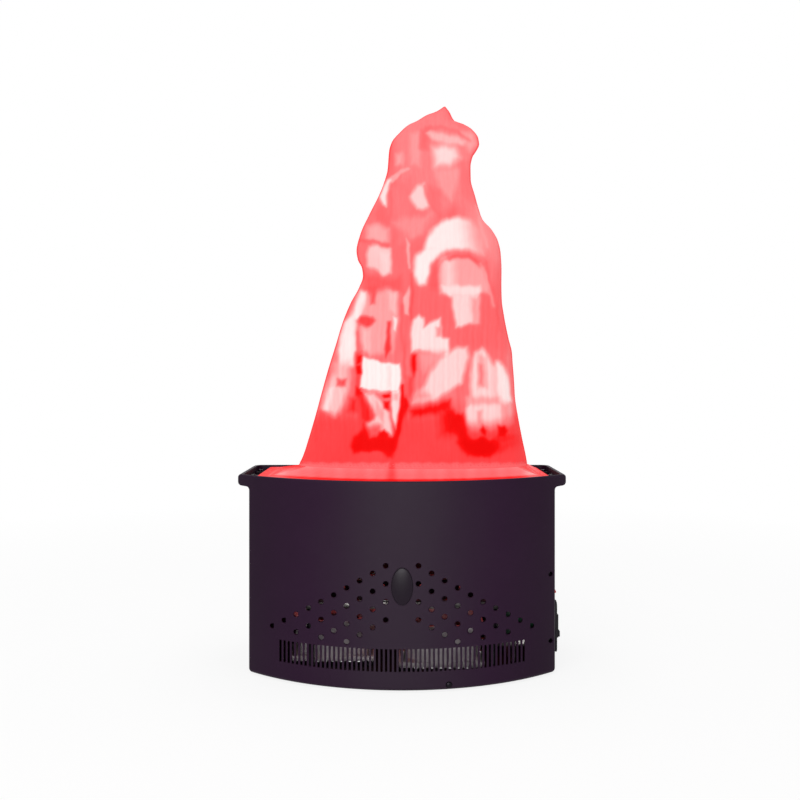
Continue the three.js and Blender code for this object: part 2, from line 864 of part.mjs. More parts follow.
function buildFan(fan) {
  const { side, x, y } = fan;
  const flange = (low) => extruded(roundedShape(fanSize, fanSize, fanCorner), fanFlange).translate(x, y, low);
  const ductWall = (fanSize / 2 - ductRadius) * 0.85;
  const spider = ductRadius + ductWall / 2;
  const strutTop = fanBottom + strutHeight;
  const cupTop = fanBottom + motorCupHeight;
  const ring = join(
    rod(ductRadius + ductWall, [x, y, fanBottom], [x, y, fanTop], 20),
    flange(fanBottom),
    flange(fanTop - fanFlange)
  );
  const openRing = cut(ring, rod(ductRadius, [x, y, fanBottom - overrun], [x, y, fanTop + overrun], 20));
  const spiderRing = join(
    openRing,
    block([x - spider, y - strutWidth / 2, fanBottom], [x + spider, y + strutWidth / 2, strutTop]),
    block([x - strutWidth / 2, y - spider, fanBottom], [x + strutWidth / 2, y + spider, strutTop]),
    rod(motorCupRadius, [x, y, fanBottom], [x, y, cupTop], 16)
  );
  const bore = shaftRadius + seatGap;
  const bores = [rod(bore, [x, y, cupTop - shaftDepth - seatGap], [x, y, cupTop + overrun])];
  for (const [holeX, holeY] of fanCorners(fan)) {
    const hole = fanScrewShank + seatGap;
    bores.push(rod(hole, [holeX, holeY, fanBottom - overrun], [holeX, holeY, fanTop + overrun]));
  }
  addPiece(`fan_${side}_frame`, cut(spiderRing, mergeGeometries(bores)), fanLook);
  addPiece(`fan_${side}_rotor`, fanRotor(x, y, cupTop), blackLook);
  const corners = ["front_left", "front_right", "rear_left", "rear_right"];
  fanCorners(fan).forEach((corner, i) => buildFanScrew(`fan_${side}_screw_${corners[i]}`, corner));
}

function buildFanScrew(name, [x, y]) {
  const profile = [
    [0, -fanScrewReach - fanFlange],
    [fanScrewShank, -fanScrewReach - fanFlange],
    [fanScrewShank, 0],
    [fanScrewSleeve, 0],
    [fanScrewSleeve, fanScrewSleeveHeight],
    [fanScrewHead, fanScrewSleeveHeight],
    [fanScrewHead, fanScrewSleeveHeight + fanScrewHeadHeight],
    [0, fanScrewSleeveHeight + fanScrewHeadHeight],
  ];
  addPiece(name, turned(profile, [x, y, fanBottom + fanFlange + seatGap], [0, 0, 1], 6), steelLook);
}

function fanRotor(x, y, cupTop) {
  const hubTop = rotorBottom + hubHeight;
  const profile = [
    [0, cupTop - shaftDepth],
    [shaftRadius, cupTop - shaftDepth],
    [shaftRadius, rotorBottom],
    [hubRadius, rotorBottom],
    [hubRadius, hubTop - hubEdge],
    [hubRadius - hubEdge, hubTop],
    [0, hubTop],
  ];
  const hub = turned(profile, [x, y, 0], [0, 0, 1], 16);
  const blades = Array.from({ length: bladeCount }, (_, i) => {
    const turn = (2 * Math.PI * i) / bladeCount;
    return fanBlade(turn).translate(x, y, rotorBottom + hubHeight / 2);
  });
  return join(hub, ...blades);
}

// One blade, wound round the shaft, with its chord and its pitch changing from root to tip.
function fanBlade(turn) {
  const stations = 3;
  const rings = [];
  for (let i = 0; i < stations; i += 1) {
    const share = i / (stations - 1);
    const radius = hubRadius - weld + (ductRadius - bladeTipGap - hubRadius + weld) * share;
    const chord = bladeRootChord + (bladeTipChord - bladeRootChord) * share;
    const pitch = THREE.MathUtils.degToRad(bladeRootPitch + (bladeTipPitch - bladeRootPitch) * share);
    const camber = chord * 0.07;
    const section = [
      [-chord / 2, 0],
      [0, camber - bladeThickness / 2],
      [chord / 2, 0],
      [chord / 2, bladeThickness / 2],
      [0, camber + bladeThickness / 2],
      [-chord / 2, bladeThickness / 2],
    ];
    rings.push(
      section.map(([along, across]) => {
        const around = turn + (along * Math.cos(pitch) - across * Math.sin(pitch)) / radius;
        const height = along * Math.sin(pitch) + across * Math.cos(pitch);
        return [radius * Math.cos(around), radius * Math.sin(around), height];
      })
    );
  }
  return loft(rings);
}

// Lamp rows: a folded rail on two posts, a board on it and upright lamps on the board

function lampRows() {
  return [
    { side: "front", back: railFrontBack },
    { side: "rear", back: railRearBack },
  ];
}

function buildLampRow({ side, back }) {
  const end = railLength / 2;
  const edge = railWidth / 2;
  const channel = cut(
    block([-end, back - edge, railTop - railDepth], [end, back + edge, railTop]),
    block(
      [-end - overrun, back - edge + railSheet, railTop - railDepth - overrun],
      [end + overrun, back + edge - railSheet, railTop - railSheet]
    )
  );
  const above = boardLevel + boardThickness + overrun;
  const screwHoles = [-railAcross, railAcross].map((x) =>
    rod(lampScrewShank + seatGap, [x, back, railTop - railDepth], [x, back, above])
  );
  addPiece(`lamp_rail_${side}`, cut(channel, ...screwHoles), steelLook);
  const boardTop = boardLevel + boardThickness;
  const lamps = Array.from({ length: lampCount }, (_, i) => {
    const x = (i / (lampCount - 1) - 1 / 2) * lampSpread;
    const profile = [
      [0, -boardThickness / 2],
      [lampRadius, -boardThickness / 2],
      [lampRadius, lampNeck],
      [lampRadius * 0.65, lampHeight * 0.9],
      [0, lampHeight],
    ];
    return turned(profile, [x, back, boardTop], [0, 0, 1], 6);
  });
  const board = cut(block([-end, back - edge, boardLevel], [end, back + edge, boardTop]), ...screwHoles);
  addPiece(`lamp_board_${side}`, join(board, ...lamps), lampLook);
  for (const [place, x] of [["left", -railAcross], ["right", railAcross]]) {
    const foot = [x, back, boardTop + seatGap];
    const size = [lampScrewHead, lampScrewHeadHeight, lampScrewShank, lampScrewLength, 6];
    screw(`lamp_screw_${side}_${place}`, foot, [0, 0, 1], ...size);
  }
}

// Power bracket behind the right front corner

function bracketScrewHeights() {
  return [bracketScrewLow, bracketScrewHigh];
}

function bracketScrewBoss(z) {
  const start = wallFront(bracketScrewAcross, housingWall) - housingWall / 2;
  return rod(bracketBoss, [bracketScrewAcross, start, z], [bracketScrewAcross, bracketBossEnd, z]);
}

function bracketScrewHole(z) {
  const x = bracketScrewAcross;
  const shoulder = bracketBossEnd - bracketShoulder;
  const outside = wallFront(x) - bracketBoss;
  return [
    rod(bracketHole, [x, outside, z], [x, shoulder, z]),
    rod(bracketScrewShank + seatGap, [x, outside, z], [x, bracketBossEnd + overrun, z]),
  ];
}

function buildPowerBracket() {
  const low = bracketScrewLow - bracketMargin;
  const high = bracketScrewHigh + bracketMargin;
  const back = bracketFront + bracketSheet;
  const [boardX, boardZ] = [driverAcross, bracketMiddle];
  const standTop = driverBack + seatGap;
  const posts = [];
  const pegHoles = [];
  for (const x of [boardX - driverWidth / 2 + driverInset, boardX + driverWidth / 2 - driverInset]) {
    for (const z of [boardZ - driverHeight / 2 + driverInset, boardZ + driverHeight / 2 - driverInset]) {
      const peg = driverStandoffRadius / 2;
      posts.push(rod(driverStandoffRadius, [x, bracketFront + weld, z], [x, standTop, z], 6));
      posts.push(rod(peg, [x, bracketFront + weld, z], [x, driverFace - overrun, z], 6));
      pegHoles.push(rod(peg + seatGap, [x, standTop, z], [x, driverFace - overrun, z], 6));
    }
  }
  const plate = join(block([bracketLeft, bracketFront, low], [bracketRight, back, high]), ...posts);
  const holes = bracketScrewHeights().map((z) => {
    const [near, far] = [bracketFront - weld, back + overrun].map((y) => [bracketScrewAcross, y, z]);
    return rod(bracketScrewShank + seatGap, near, far);
  });
  addPiece("power_bracket", cut(plate, ...holes), steelLook);
  const sheet = block(
    [boardX - driverWidth / 2, driverFace, boardZ - driverHeight / 2],
    [boardX + driverWidth / 2, driverBack, boardZ + driverHeight / 2]
  );
  const chip = (x, z) =>
    block(
      [x - chipWidth / 2, driverFace - chipDepth, z - chipHeight / 2],
      [x + chipWidth / 2, driverFace + driverThickness / 2, z + chipHeight / 2]
    );
  const leftChip = chip(boardX - chipWidth * 0.6, boardZ - chipHeight / 2);
  const rightChip = chip(boardX + chipWidth * 0.7, boardZ);
  addPiece("driver_board", join(cut(sheet, mergeGeometries(pegHoles)), leftChip, rightChip), boardLook);
  const capacitor = [
    [0, 0],
    [capacitorRadius, 0],
    [capacitorRadius, capacitorLength - capacitorEdge],
    [capacitorRadius - capacitorEdge, capacitorLength],
    [0, capacitorLength],
  ];
  const capacitorFoot = [boardX - chipWidth * 0.6, driverFace - seatGap, boardZ + chipHeight];
  addPiece("smoothing_capacitor", turned(capacitor, capacitorFoot, [0, -1, 0]), blackLook);
  const names = ["bracket_screw_lower", "bracket_screw_upper"];
  bracketScrewHeights().forEach((z, i) => {
    const foot = [bracketScrewAcross, bracketBossEnd - bracketShoulder - seatGap, z];
    const size = [bracketScrewHead, bracketScrewHeadHeight, bracketScrewShank, bracketScrewLength];
    screw(names[i], foot, [0, -1, 0], ...size);
  });
}

// Transformer: a laminated core with feet, and its coil round the middle limb

function strapCentres() {
  const reach = (coreWidth + strapFoot) / 2;
  return [transformerAcross - reach, transformerAcross + reach];
}

function buildTransformer() {
  const [x, y] = [transformerAcross, transformerBack];
  const top = coreBottom + coreHeight;
  const foot = coreWidth / 2 + strapFoot;
  const windowLow = coreBottom + coreLimb;
  const windowHigh = top - coreLimb;
  const windowNear = coreCentreLimb / 2;
  const windowFar = coreWidth / 2 - coreLimb;
  const body = join(
    block([x - coreWidth / 2, y - coreStack / 2, coreBottom], [x + coreWidth / 2, y + coreStack / 2, top]),
    block([x - foot, y - coreStack / 2, coreBottom], [x + foot, y + coreStack / 2, coreBottom + strapSheet])
  );
  const through = coreStack / 2 + overrun;
  const core = cut(
    body,
    block([x + windowNear, y - through, windowLow], [x + windowFar, y + through, windowHigh]),
    block([x - windowFar, y - through, windowLow], [x - windowNear, y + through, windowHigh]),
    ...strapCentres().map((hole) => {
      const [near, far] = [-overrun, strapSheet + overrun].map((rise) => [hole, y, coreBottom + rise]);
      return rod(transformerScrewShank + seatGap, near, far);
    })
  );
  addPiece("transformer_core", core, steelLook);
  const inner = windowNear + coilClearance;
  const deep = y - coilFront;
  const low = windowLow + coilClearance;
  const high = windowHigh - coilClearance;
  const slot = coreStack / 2 + coilClearance;
  const coil = cut(
    block([x - coilReach, coilFront, low], [x + coilReach, y + deep, high]),
    block([x - inner, y - slot, low - overrun], [x + inner, y + slot, high + overrun])
  );
  addPiece("transformer_coil", coil, copperLook);
  const names = ["transformer_screw_left", "transformer_screw_right"];
  strapCentres().forEach((hole, i) => {
    const head = [transformerScrewHead, transformerScrewHeadHeight];
    const shank = [transformerScrewShank, transformerScrewLength, 6];
    screw(names[i], [hole, y, coreBottom + strapSheet + seatGap], [0, 0, 1], ...head, ...shank);
  });
}

// Rocker switch

function switchHole() {
  const grow = 2 * seatGap;
  const [across, tall] = [switchBodyAcross + grow, switchBodyTall + grow];
  return crossBlock(innerHalf - overrun, half + overrun, switchBack, switchHeight, across, tall);
}

function buildSwitch() {
  const seat = half + seatGap;
  const face = seat + switchBezel;
  const pivot = face - rockerPivotDepth;
  const [y, z] = [switchBack, switchHeight];
  const body = join(
    crossBlock(seat, face, y, z, switchBezelAcross, switchBezelTall),
    crossBlock(seat - switchBodyDeep, seat + switchBezel / 2, y, z, switchBodyAcross, switchBodyTall)
  );
  const floor = face - switchPocketDeep;
  const pocket = crossBlock(floor, face + overrun, y, z, switchPocketAcross, switchPocketTall);
  const pinReach = switchBodyAcross / 2 + overrun;
  const pinHole = rod(rockerPin + seatGap, [pivot, y - pinReach, z], [pivot, y + pinReach, z]);
  addPiece("switch_body", cut(body, pocket, pinHole), blackLook);

  const end = switchPocketTall / 2 - rockerClearance * 1.75;
  const profile = new THREE.Shape();
  profile.moveTo(-rockerBelly, 0);
  profile.lineTo(-rockerBelly * 0.7, end * 0.6);
  profile.lineTo(rockerBelly * 0.2, end);
  profile.lineTo(rockerReach, end * 0.9);
  profile.lineTo(rockerReach - rockerDip, 0);
  profile.lineTo(rockerReach, -end * 0.9);
  profile.lineTo(rockerBelly * 0.2, -end);
  profile.lineTo(-rockerBelly * 0.7, -end * 0.6);
  profile.closePath();
  const across = switchPocketAcross - 2 * rockerClearance;
  const cap = extruded(profile, across).translate(0, 0, -across / 2).rotateX(Math.PI / 2);
  const pinEnd = across / 2 + rockerClearance + (switchBodyAcross - switchPocketAcross) / 2 - seatGap;
  const rocker = join(cap, rod(rockerPin, [0, -pinEnd, 0], [0, pinEnd, 0]));
  const tilted = fromSolid(rocker).rotateY(THREE.MathUtils.degToRad(-rockerTilt)).translate(pivot, y, z);
  addPiece("switch_rocker", tilted, rockerLook);
}

// Mains inlet, its pins and its screws

function inletHoles() {
  const grow = 2 * seatGap;
  const [low, high] = [innerHalf - overrun, half + overrun];
  const body = crossBlock(low, high, inletBack, inletHeight, inletBodyAcross + grow, inletBodyTall + grow);
  const screws = inletScrewHeights().map((z) =>
    rod(inletScrewShank + seatGap, [low, inletBack, z], [high, inletBack, z])
  );
  return [body, ...screws];
}

function inletScrewHeights() {
  return [inletHeight - inletScrewPitch / 2, inletHeight + inletScrewPitch / 2];
}

function buildInlet() {
  const [seat, face] = [inletSeat, inletFace];
  const back = seat - inletBodyDeep;
  const floor = face - socketDeep;
  const [y, z] = [inletBack, inletHeight];
  const socketY = y + socketShift;
  const plate = extruded(roundedShape(inletFlangeTall, inletFlangeAcross, inletFlangeCorner), inletFlange, 2);
  plate.rotateY(Math.PI / 2).translate(seat, y, z);
  const body = join(plate, crossBlock(back, seat + inletFlange / 2, y, z, inletBodyAcross, inletBodyTall));
  const socket = new THREE.Shape();
  const [tall, deep] = [socketTall / 2, socketAcross / 2];
  socket.moveTo(-tall, -deep);
  socket.lineTo(tall, -deep);
  socket.lineTo(tall, deep - socketKey);
  socket.lineTo(tall - socketKey, deep);
  socket.lineTo(socketKey - tall, deep);
  socket.lineTo(-tall, deep - socketKey);
  socket.closePath();
  const cavity = extruded(socket, socketDeep + overrun).rotateY(Math.PI / 2).translate(floor, socketY, z);
  const tunnelFloor = face - drawerDeep - 2 * seatGap;
  const [across, high] = [drawerAcross + 2 * seatGap, drawerTall + 2 * seatGap];
  const tunnel = crossBlock(tunnelFloor, face + overrun, y + drawerShift, z, across, high);
  const pins = [
    { name: "inlet_pin_line", y: pinRowBack, z: z + pinSpread },
    { name: "inlet_pin_neutral", y: pinRowBack, z: z - pinSpread },
    { name: "inlet_pin_earth", y: pinEarthBack, z },
  ];
  const pinHoles = pins.map((pin) =>
    crossBlock(back - overrun, floor + overrun, pin.y, pin.z, pinTall + 2 * seatGap, pinThick + 2 * seatGap)
  );
  const screwHoles = inletScrewHeights().map((height) =>
    rod(inletScrewShank + seatGap, [seat - overrun, y, height], [face + overrun, y, height])
  );
  addPiece("inlet_body", cut(body, cavity, tunnel, ...pinHoles, ...screwHoles), blackLook);
  for (const pin of pins) {
    const blade = crossBlock(back - pinTail, floor + pinLength, pin.y, pin.z, pinTall, pinThick);
    addPiece(pin.name, blade, brassLook);
  }
  const names = ["inlet_screw_lower", "inlet_screw_upper"];
  inletScrewHeights().forEach((height, i) => {
    const size = [inletScrewHead, inletScrewHeadHeight, inletScrewShank, inletScrewLength];
    screw(names[i], [face + seatGap, y, height], [1, 0, 0], ...size);
  });
}

// Fuse drawer, which slides out along +X, and the fuse across it

function buildFuseDrawer() {
  const [y, z] = [inletBack + drawerShift, inletHeight];
  const back = inletFace - drawerDeep;
  const capTop = inletFace + drawerCap;
  const pocketTall = fuseLength + 2 * seatGap;
  const pocketAcross = 2 * (fuseRadius + fuseBandRise + seatGap);
  const pocketFloor = back + pocketAcross;
  const grip = z - drawerTall / 3;
  const lip = crossBlock(capTop - weld, capTop + drawerLip, y, grip, drawerAcross, drawerTall / 4);
  const tray = join(crossBlock(back, capTop, y, z, drawerAcross, drawerTall), lip);
  const pocket = crossBlock(back - overrun, pocketFloor, y, z, pocketAcross, pocketTall);
  addPiece("fuse_drawer", cut(tray, pocket), blackLook);
  const end = fuseLength / 2;
  const glass = [
    [0, -end],
    [fuseRadius + fuseBandRise, -end],
    [fuseRadius + fuseBandRise, fuseBand - end],
    [fuseRadius, fuseBand - end],
    [fuseRadius, end - fuseBand],
    [fuseRadius + fuseBandRise, end - fuseBand],
    [fuseRadius + fuseBandRise, end],
    [0, end],
  ];
  const fuseX = pocketFloor - fuseRadius - fuseBandRise - seatGap;
  addPiece("fuse", turned(glass, [fuseX, y, z], [0, 0, 1]), glassLook);
}

// Silk frame on the rim's ledges

function frameScrews() {
  const across = (half - housingWall + rimHalf - rimWall) / 2;
  return [
    { name: "frame_screw_front_left", x: -across, y: lugFront },
    { name: "frame_screw_front_right", x: across, y: lugFront },
    { name: "frame_screw_rear_left", x: -across, y: lugRear },
    { name: "frame_screw_rear_right", x: across, y: lugRear },
  ];
}

function frameScrewHole({ x, y }) {
  const bottom = frameBottom + lugThickness - frameScrewLength;
  return rod(frameScrewShank + seatGap, [x, y, bottom], [x, y, ledgeTop + overrun]);
}

function buildSilkFrame() {
  const outer = prism(frameHalf, frameInset, frameBottom, frameTop);
  const low = frameBottom - overrun;
  const high = frameTop + overrun;
  const inner = prism(frameHalf - frameWidth, frameInset + frameWidth, low, high);
  const ring = fromSolid(cut(outer, inner)).translate(frameShift, 0, 0);
  const lugs = frameScrews().map(({ x, y }) => {
    const tip = Math.sign(x) * lugReach;
    const root = Math.sign(x) * (frameHalf - frameWidth / 2);
    return block(
      [Math.min(tip, root), y - lugWidth / 2, frameBottom],
      [Math.max(tip, root), y + lugWidth / 2, frameBottom + lugThickness]
    );
  });
  const holes = frameScrews().map(({ x, y }) => rod(frameScrewShank + seatGap, [x, y, low], [x, y, high]));
  addPiece("silk_frame", cut(join(ring, ...lugs), ...holes), blackLook);
  for (const { name, x, y } of frameScrews()) {
    const size = [frameScrewHead, frameScrewHeadHeight, frameScrewShank, frameScrewLength];
    screw(name, [x, y, frameBottom + lugThickness + seatGap], [0, 0, 1], ...size);
  }
}

// Silk

// The flame's outline seen from the front: shares of its height, and of its half-width to the
// left and to the right of the middle of its base.
function flameOutlineShares() {
  return [
    [0, -1, 1],
    [0.045, -0.95, 0.975],
    [0.11, -0.89, 0.935],
    [0.175, -0.83, 0.89],
    [0.24, -0.77, 0.873],
    [0.31, -0.706, 0.865],
    [0.376, -0.637, 0.821],
    [0.421, -0.584, 0.795],
    [0.466, -0.515, 0.769],
    [0.511, -0.453, 0.769],
    [0.545, -0.444, 0.769],
    [0.58, -0.497, 0.76],
    [0.623, -0.489, 0.743],
    [0.668, -0.427, 0.664],
    [0.713, -0.375, 0.577],
    [0.758, -0.296, 0.542],
    [0.803, -0.253, 0.498],
    [0.848, -0.218, 0.498],
    [0.893, -0.2, 0.569],
    [0.938, -0.104, 0.515],
    [0.965, 0.05, 0.375],
    [0.985, 0.16, 0.335],
    [0.999, 0.245, 0.3],
  ];
}

// How far the cloth stands out at a place, from a share of the width and of the height: pleats
// that fade upwards, a sewn seam that draws it in, and two hooded folds on the right.
function foldAt(across, up) {
  const start = Math.min(1, up * 12);
  const pleats = pleatDepth * Math.cos(Math.PI * (4.6 * across + 1.4 * up)) * (1 - up);
  const seam = -seamDepth * Math.exp(-(((across + 0.06) / 0.16) ** 2)) * Math.max(0, 1 - up / 0.6);
  const hood = (centreAcross, centreUp, reachAcross, reachUp) => {
    const far = Math.hypot((across - centreAcross) / reachAcross, (up - centreUp) / reachUp);
    const above = up > centreUp ? 1 : 0.35;
    return hoodDepth * above * Math.exp(-(((far - 1) / 0.3) ** 2));
  };
  return start * (pleats + seam + hood(0.5, 0.6, 0.42, 0.09) + hood(0.55, 0.5, 0.36, 0.07));
}

// One level ring of the flame, drawn in by a thickness of cloth.
function flameRing([up, left, right], angles, drawn) {
  const centre = flameAcross + (flameHalfWidth * (left + right)) / 2;
  const wide = (flameHalfWidth * (right - left)) / 2;
  const deep = flameHalfDepth * (1 - up) ** flameTaper + silk;
  const shrink = 1 - drawn / Math.min(wide, deep);
  return angles.map((angle) => {
    const [c, s] = [Math.cos(angle), Math.sin(angle)];
    const across = (centre + wide * c - flameAcross) / flameHalfWidth;
    const fold = foldAt(across, up) * Math.abs(s) * Math.min(1, deep / flameHalfDepth + 1 / 4);
    const x = centre + wide * c * shrink;
    const y = flameBack + (deep * s + fold * Math.sign(s)) * shrink;
    return [x, y, flameBase + flameHeight * up];
  });
}

function buildSilk() {
  const even = Array.from({ length: flameSteps }, (_, i) => (2 * Math.PI * (i + 1 / 2)) / flameSteps);
  const shares = flameOutlineShares();
  const outside = shares.map((row) => flameRing(row, even, 0));
  const inside = shares.slice(0, -2).map((row) => flameRing(row, even, silk));
  addPiece("silk_flame", cut(loft(outside), innerFlame(inside)), silkLook);

  // Rings from the frame up to the edge that is sewn under the flame's foot, and a hem round the frame
  const flat = (reach, level) =>
    plan(frameHalf + reach, frameInset - reach, level).map(([x, y, z]) => [x + frameShift, y, z]);
  const held = flat(-frameWidth, skirtBottom);
  const angles = held.map(([x, y]) => {
    const [right, back] = [(x - flameAcross) / flameHalfWidth, (y - flameBack) / flameHalfDepth];
    return Math.atan2(back, right);
  });
  const hole = flameRing([0, -1, 1], angles, hemLap).map(([x, y]) => [x, y, skirtSewn]);
  const between = (share, rise) =>
    held.map(([x, y, z], i) => [
      x + (hole[i][0] - x) * share,
      y + (hole[i][1] - y) * share,
      z + (skirtSewn - z) * rise,
    ]);
  const under = [held, between(0.6, 0.4), hole];
  const over = under.map((ring) => ring.map(([x, y, z]) => [x, y, z + silk]));
  const hemBottom = skirtBottom - frameThickness + lugThickness;
  const hem = [
    flat(seatGap, skirtBottom),
    flat(seatGap, hemBottom),
    flat(seatGap + silk, hemBottom),
    flat(seatGap + silk, skirtBottom + silk),
  ];
  addPiece("silk_skirt", loft([...over, ...under.reverse(), ...hem], true), silkLook);
}

// The space inside the flame, which reaches down past its foot.
function innerFlame(rings) {
  const foot = rings[0].map(([x, y, z]) => [x, y, z - overrun]);
  return loft([foot, ...rings.slice(1)]);
}

// Harnesses, each a sleeved bundle along its route

function wire(route, radius) {
  const points = route.map((point) => new THREE.Vector3(...point));
  const path = new THREE.CatmullRomCurve3(points, false, "centripetal");
  const section = new THREE.Shape();
  for (let i = 0; i < wireSides; i += 1) {
    const angle = (2 * Math.PI * i) / wireSides;
    const place = [radius * Math.cos(angle), radius * Math.sin(angle)];
    if (i === 0) section.moveTo(...place);
    else section.lineTo(...place);
  }
  section.closePath();
  const steps = 3 * (route.length - 1);
  return new THREE.ExtrudeGeometry(section, { steps, bevelEnabled: false, extrudePath: path });
}

function buildHarnesses() {
  const flat = 2 * fanWire + seatGap;
  const inletTail = inletSeat - inletBodyDeep - pinTail - seatGap;
  const switchTail = inletSeat - switchBodyDeep - seatGap;
  const pinHeight = inletHeight + pinSpread;
  const bend = inletTail - 1.4 * wireLead;
  const climb = (pinHeight + switchHeight) / 2;
  const inletToSwitch = [
    [inletTail, pinRowBack, pinHeight],
    [inletTail - wireLead, pinRowBack, pinHeight],
    [bend, (pinRowBack + switchBack) / 2, climb],
    [switchTail - 1.5 * wireLead, switchBack, switchHeight],
    [switchTail, switchBack, switchHeight],
  ];
  const coilHigh = coilMiddle + coreHeight / 6;
  const switchToTransformer = [
    [bend, (pinRowBack + switchBack) / 2, climb - mainsWire],
    [bend, coilFront / 4, climb - wireLead],
    [transformerAcross, coilFront - 2 * wireLead, coilHigh + wireLead],
    [transformerAcross, coilFront - wireLead, coilHigh],
    [transformerAcross, coilFront - seatGap, coilHigh],
  ];
  const coilLow = coilMiddle - coreHeight / 6;
  const leadAcross = driverAcross - driverWidth / 5;
  const floorLead = baseTop + 2.2 * lampWire;
  const underBracket = (wallFront(leadAcross, housingWall) + driverFace) / 2;
  const driverLow = bracketMiddle - driverHeight / 2 + wireLead;
  const driverHigh = bracketMiddle + driverHeight / 2 - wireLead;
  const transformerToDriver = [
    [transformerAcross - coilReach / 2, coilFront - seatGap, coilLow],
    [transformerAcross - coilReach / 2, coilFront - wireLead, coilLow],
    [leadAcross, coilFront / 2, floorLead],
    [leadAcross, bracketFront, floorLead],
    [leadAcross, underBracket, floorLead + wireLead],
    [leadAcross, underBracket, driverLow - wireLead],
    [leadAcross, driverFace - wireLead, driverLow],
    [leadAcross, driverFace - seatGap, driverLow],
  ];
  const boardEnd = railLength / 2 + seatGap;
  const driverToFrontLamps = [
    [leadAcross, driverFace - seatGap, driverHigh],
    [leadAcross, driverFace - wireLead, driverHigh],
    [boardEnd + 1.4 * wireLead, railFrontBack + wireLead, (driverHigh + boardLevel) / 2],
    [boardEnd + wireLead, railFrontBack, boardLevel],
    [boardEnd, railFrontBack, boardLevel],
  ];
  const passing = bracketLeft - flat;
  const sag = boardLevel + wireLead;
  const frontToRearLamps = [
    [leadAcross, driverFace - wireLead, driverHigh],
    [passing + wireLead, (driverFace + railFrontBack) / 2, driverHigh],
    [passing, bracketFront, sag],
    [passing, transformerBack / 2, sag],
    [boardEnd + wireLead, railRearBack - 2 * wireLead, sag],
    [boardEnd + wireLead, railRearBack, boardLevel],
    [boardEnd, railRearBack, boardLevel],
  ];
  const rightFanEdge = fanRightAcross + fanSize / 2;
  const rightFanRear = fanRightBack + fanSize / 2;
  const leftFanEdge = fanLeftAcross + fanSize / 2;
  const fanLead = fanBottom + fanFlange / 2;
  const floorFan = baseTop + seatGap + 1.1 * fanWire;
  const coilSide = transformerAcross - coilReach - seatGap;
  const coilFree = coilFront + coilOverhang / 2;
  const transformerToRightFan = [
    [coilSide, coilFree, coilMiddle],
    [coilSide - wireLead, coilFree, coilMiddle],
    [rightFanEdge + 1.6 * wireLead, coilFront, coilMiddle - wireLead],
    [rightFanEdge + wireLead, coilFront - wireLead, fanLead],
    [rightFanEdge + seatGap, coilFront - wireLead, fanLead],
  ];
  const rightToLeftFan = [
    [rightFanEdge + wireLead, coilFront - wireLead, fanLead],
    [rightFanEdge + flat, rightFanRear - wireLead, floorFan],
    [rightFanEdge, rightFanRear + fanWire, floorFan],
    [rightFanEdge - wireLead, rightFanRear + wireLead, floorFan],
    [fanRightAcross, rightFanRear + wireLead, floorFan],
    [rightFanEdge - fanSize - wireLead, rightFanRear + wireLead, floorFan + fanWire],
    [leftFanEdge + wireLead, rightFanRear, fanLead],
    [leftFanEdge + seatGap, rightFanRear, fanLead],
  ];
  const harness = (name, radius, ...routes) =>
    addPiece(name, join(...routes.map((route) => wire(route, radius))), wireLook);
  harness("mains_harness", mainsWire, inletToSwitch, switchToTransformer);
  harness("secondary_lead", lampWire, transformerToDriver);
  harness("lamp_harness", lampWire, driverToFrontLamps, frontToRearLamps);
  harness("fan_harness", fanWire, transformerToRightFan, rightToLeftFan);
}

buildHousing();
buildBadge();
buildBase();
for (const fan of fans()) buildFan(fan);
for (const row of lampRows()) buildLampRow(row);
buildPowerBracket();
buildTransformer();
buildSwitch();
buildInlet();
buildFuseDrawer();
buildSilkFrame();
buildSilk();
buildHarnesses();

export default assembly;
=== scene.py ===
# Silk flame effect light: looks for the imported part. Lengths are in millimetres here and turned into
# metres as each mesh is made. +Z is up and the bowed front faces -Y.
import json
import math

import bmesh
import bpy
import numpy as np
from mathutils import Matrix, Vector

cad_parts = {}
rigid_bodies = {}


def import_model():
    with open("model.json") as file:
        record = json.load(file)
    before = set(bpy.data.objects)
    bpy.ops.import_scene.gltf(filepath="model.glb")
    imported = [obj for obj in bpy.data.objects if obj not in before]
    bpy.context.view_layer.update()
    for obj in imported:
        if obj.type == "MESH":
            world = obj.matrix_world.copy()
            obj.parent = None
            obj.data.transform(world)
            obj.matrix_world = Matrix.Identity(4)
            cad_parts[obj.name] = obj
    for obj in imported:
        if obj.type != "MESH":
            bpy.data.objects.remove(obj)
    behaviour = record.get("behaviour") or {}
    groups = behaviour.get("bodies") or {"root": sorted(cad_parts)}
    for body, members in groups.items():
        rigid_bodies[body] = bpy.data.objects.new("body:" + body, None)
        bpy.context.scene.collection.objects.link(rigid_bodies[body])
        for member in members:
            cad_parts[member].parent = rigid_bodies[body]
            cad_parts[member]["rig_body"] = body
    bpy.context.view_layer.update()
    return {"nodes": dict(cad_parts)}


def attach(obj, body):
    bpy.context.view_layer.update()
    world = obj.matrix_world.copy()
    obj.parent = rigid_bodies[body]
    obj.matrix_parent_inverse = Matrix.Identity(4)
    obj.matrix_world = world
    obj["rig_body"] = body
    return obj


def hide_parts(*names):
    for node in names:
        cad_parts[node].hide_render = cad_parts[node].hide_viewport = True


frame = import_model()
nodes = frame["nodes"]
scene = bpy.context.scene

MM = 0.001

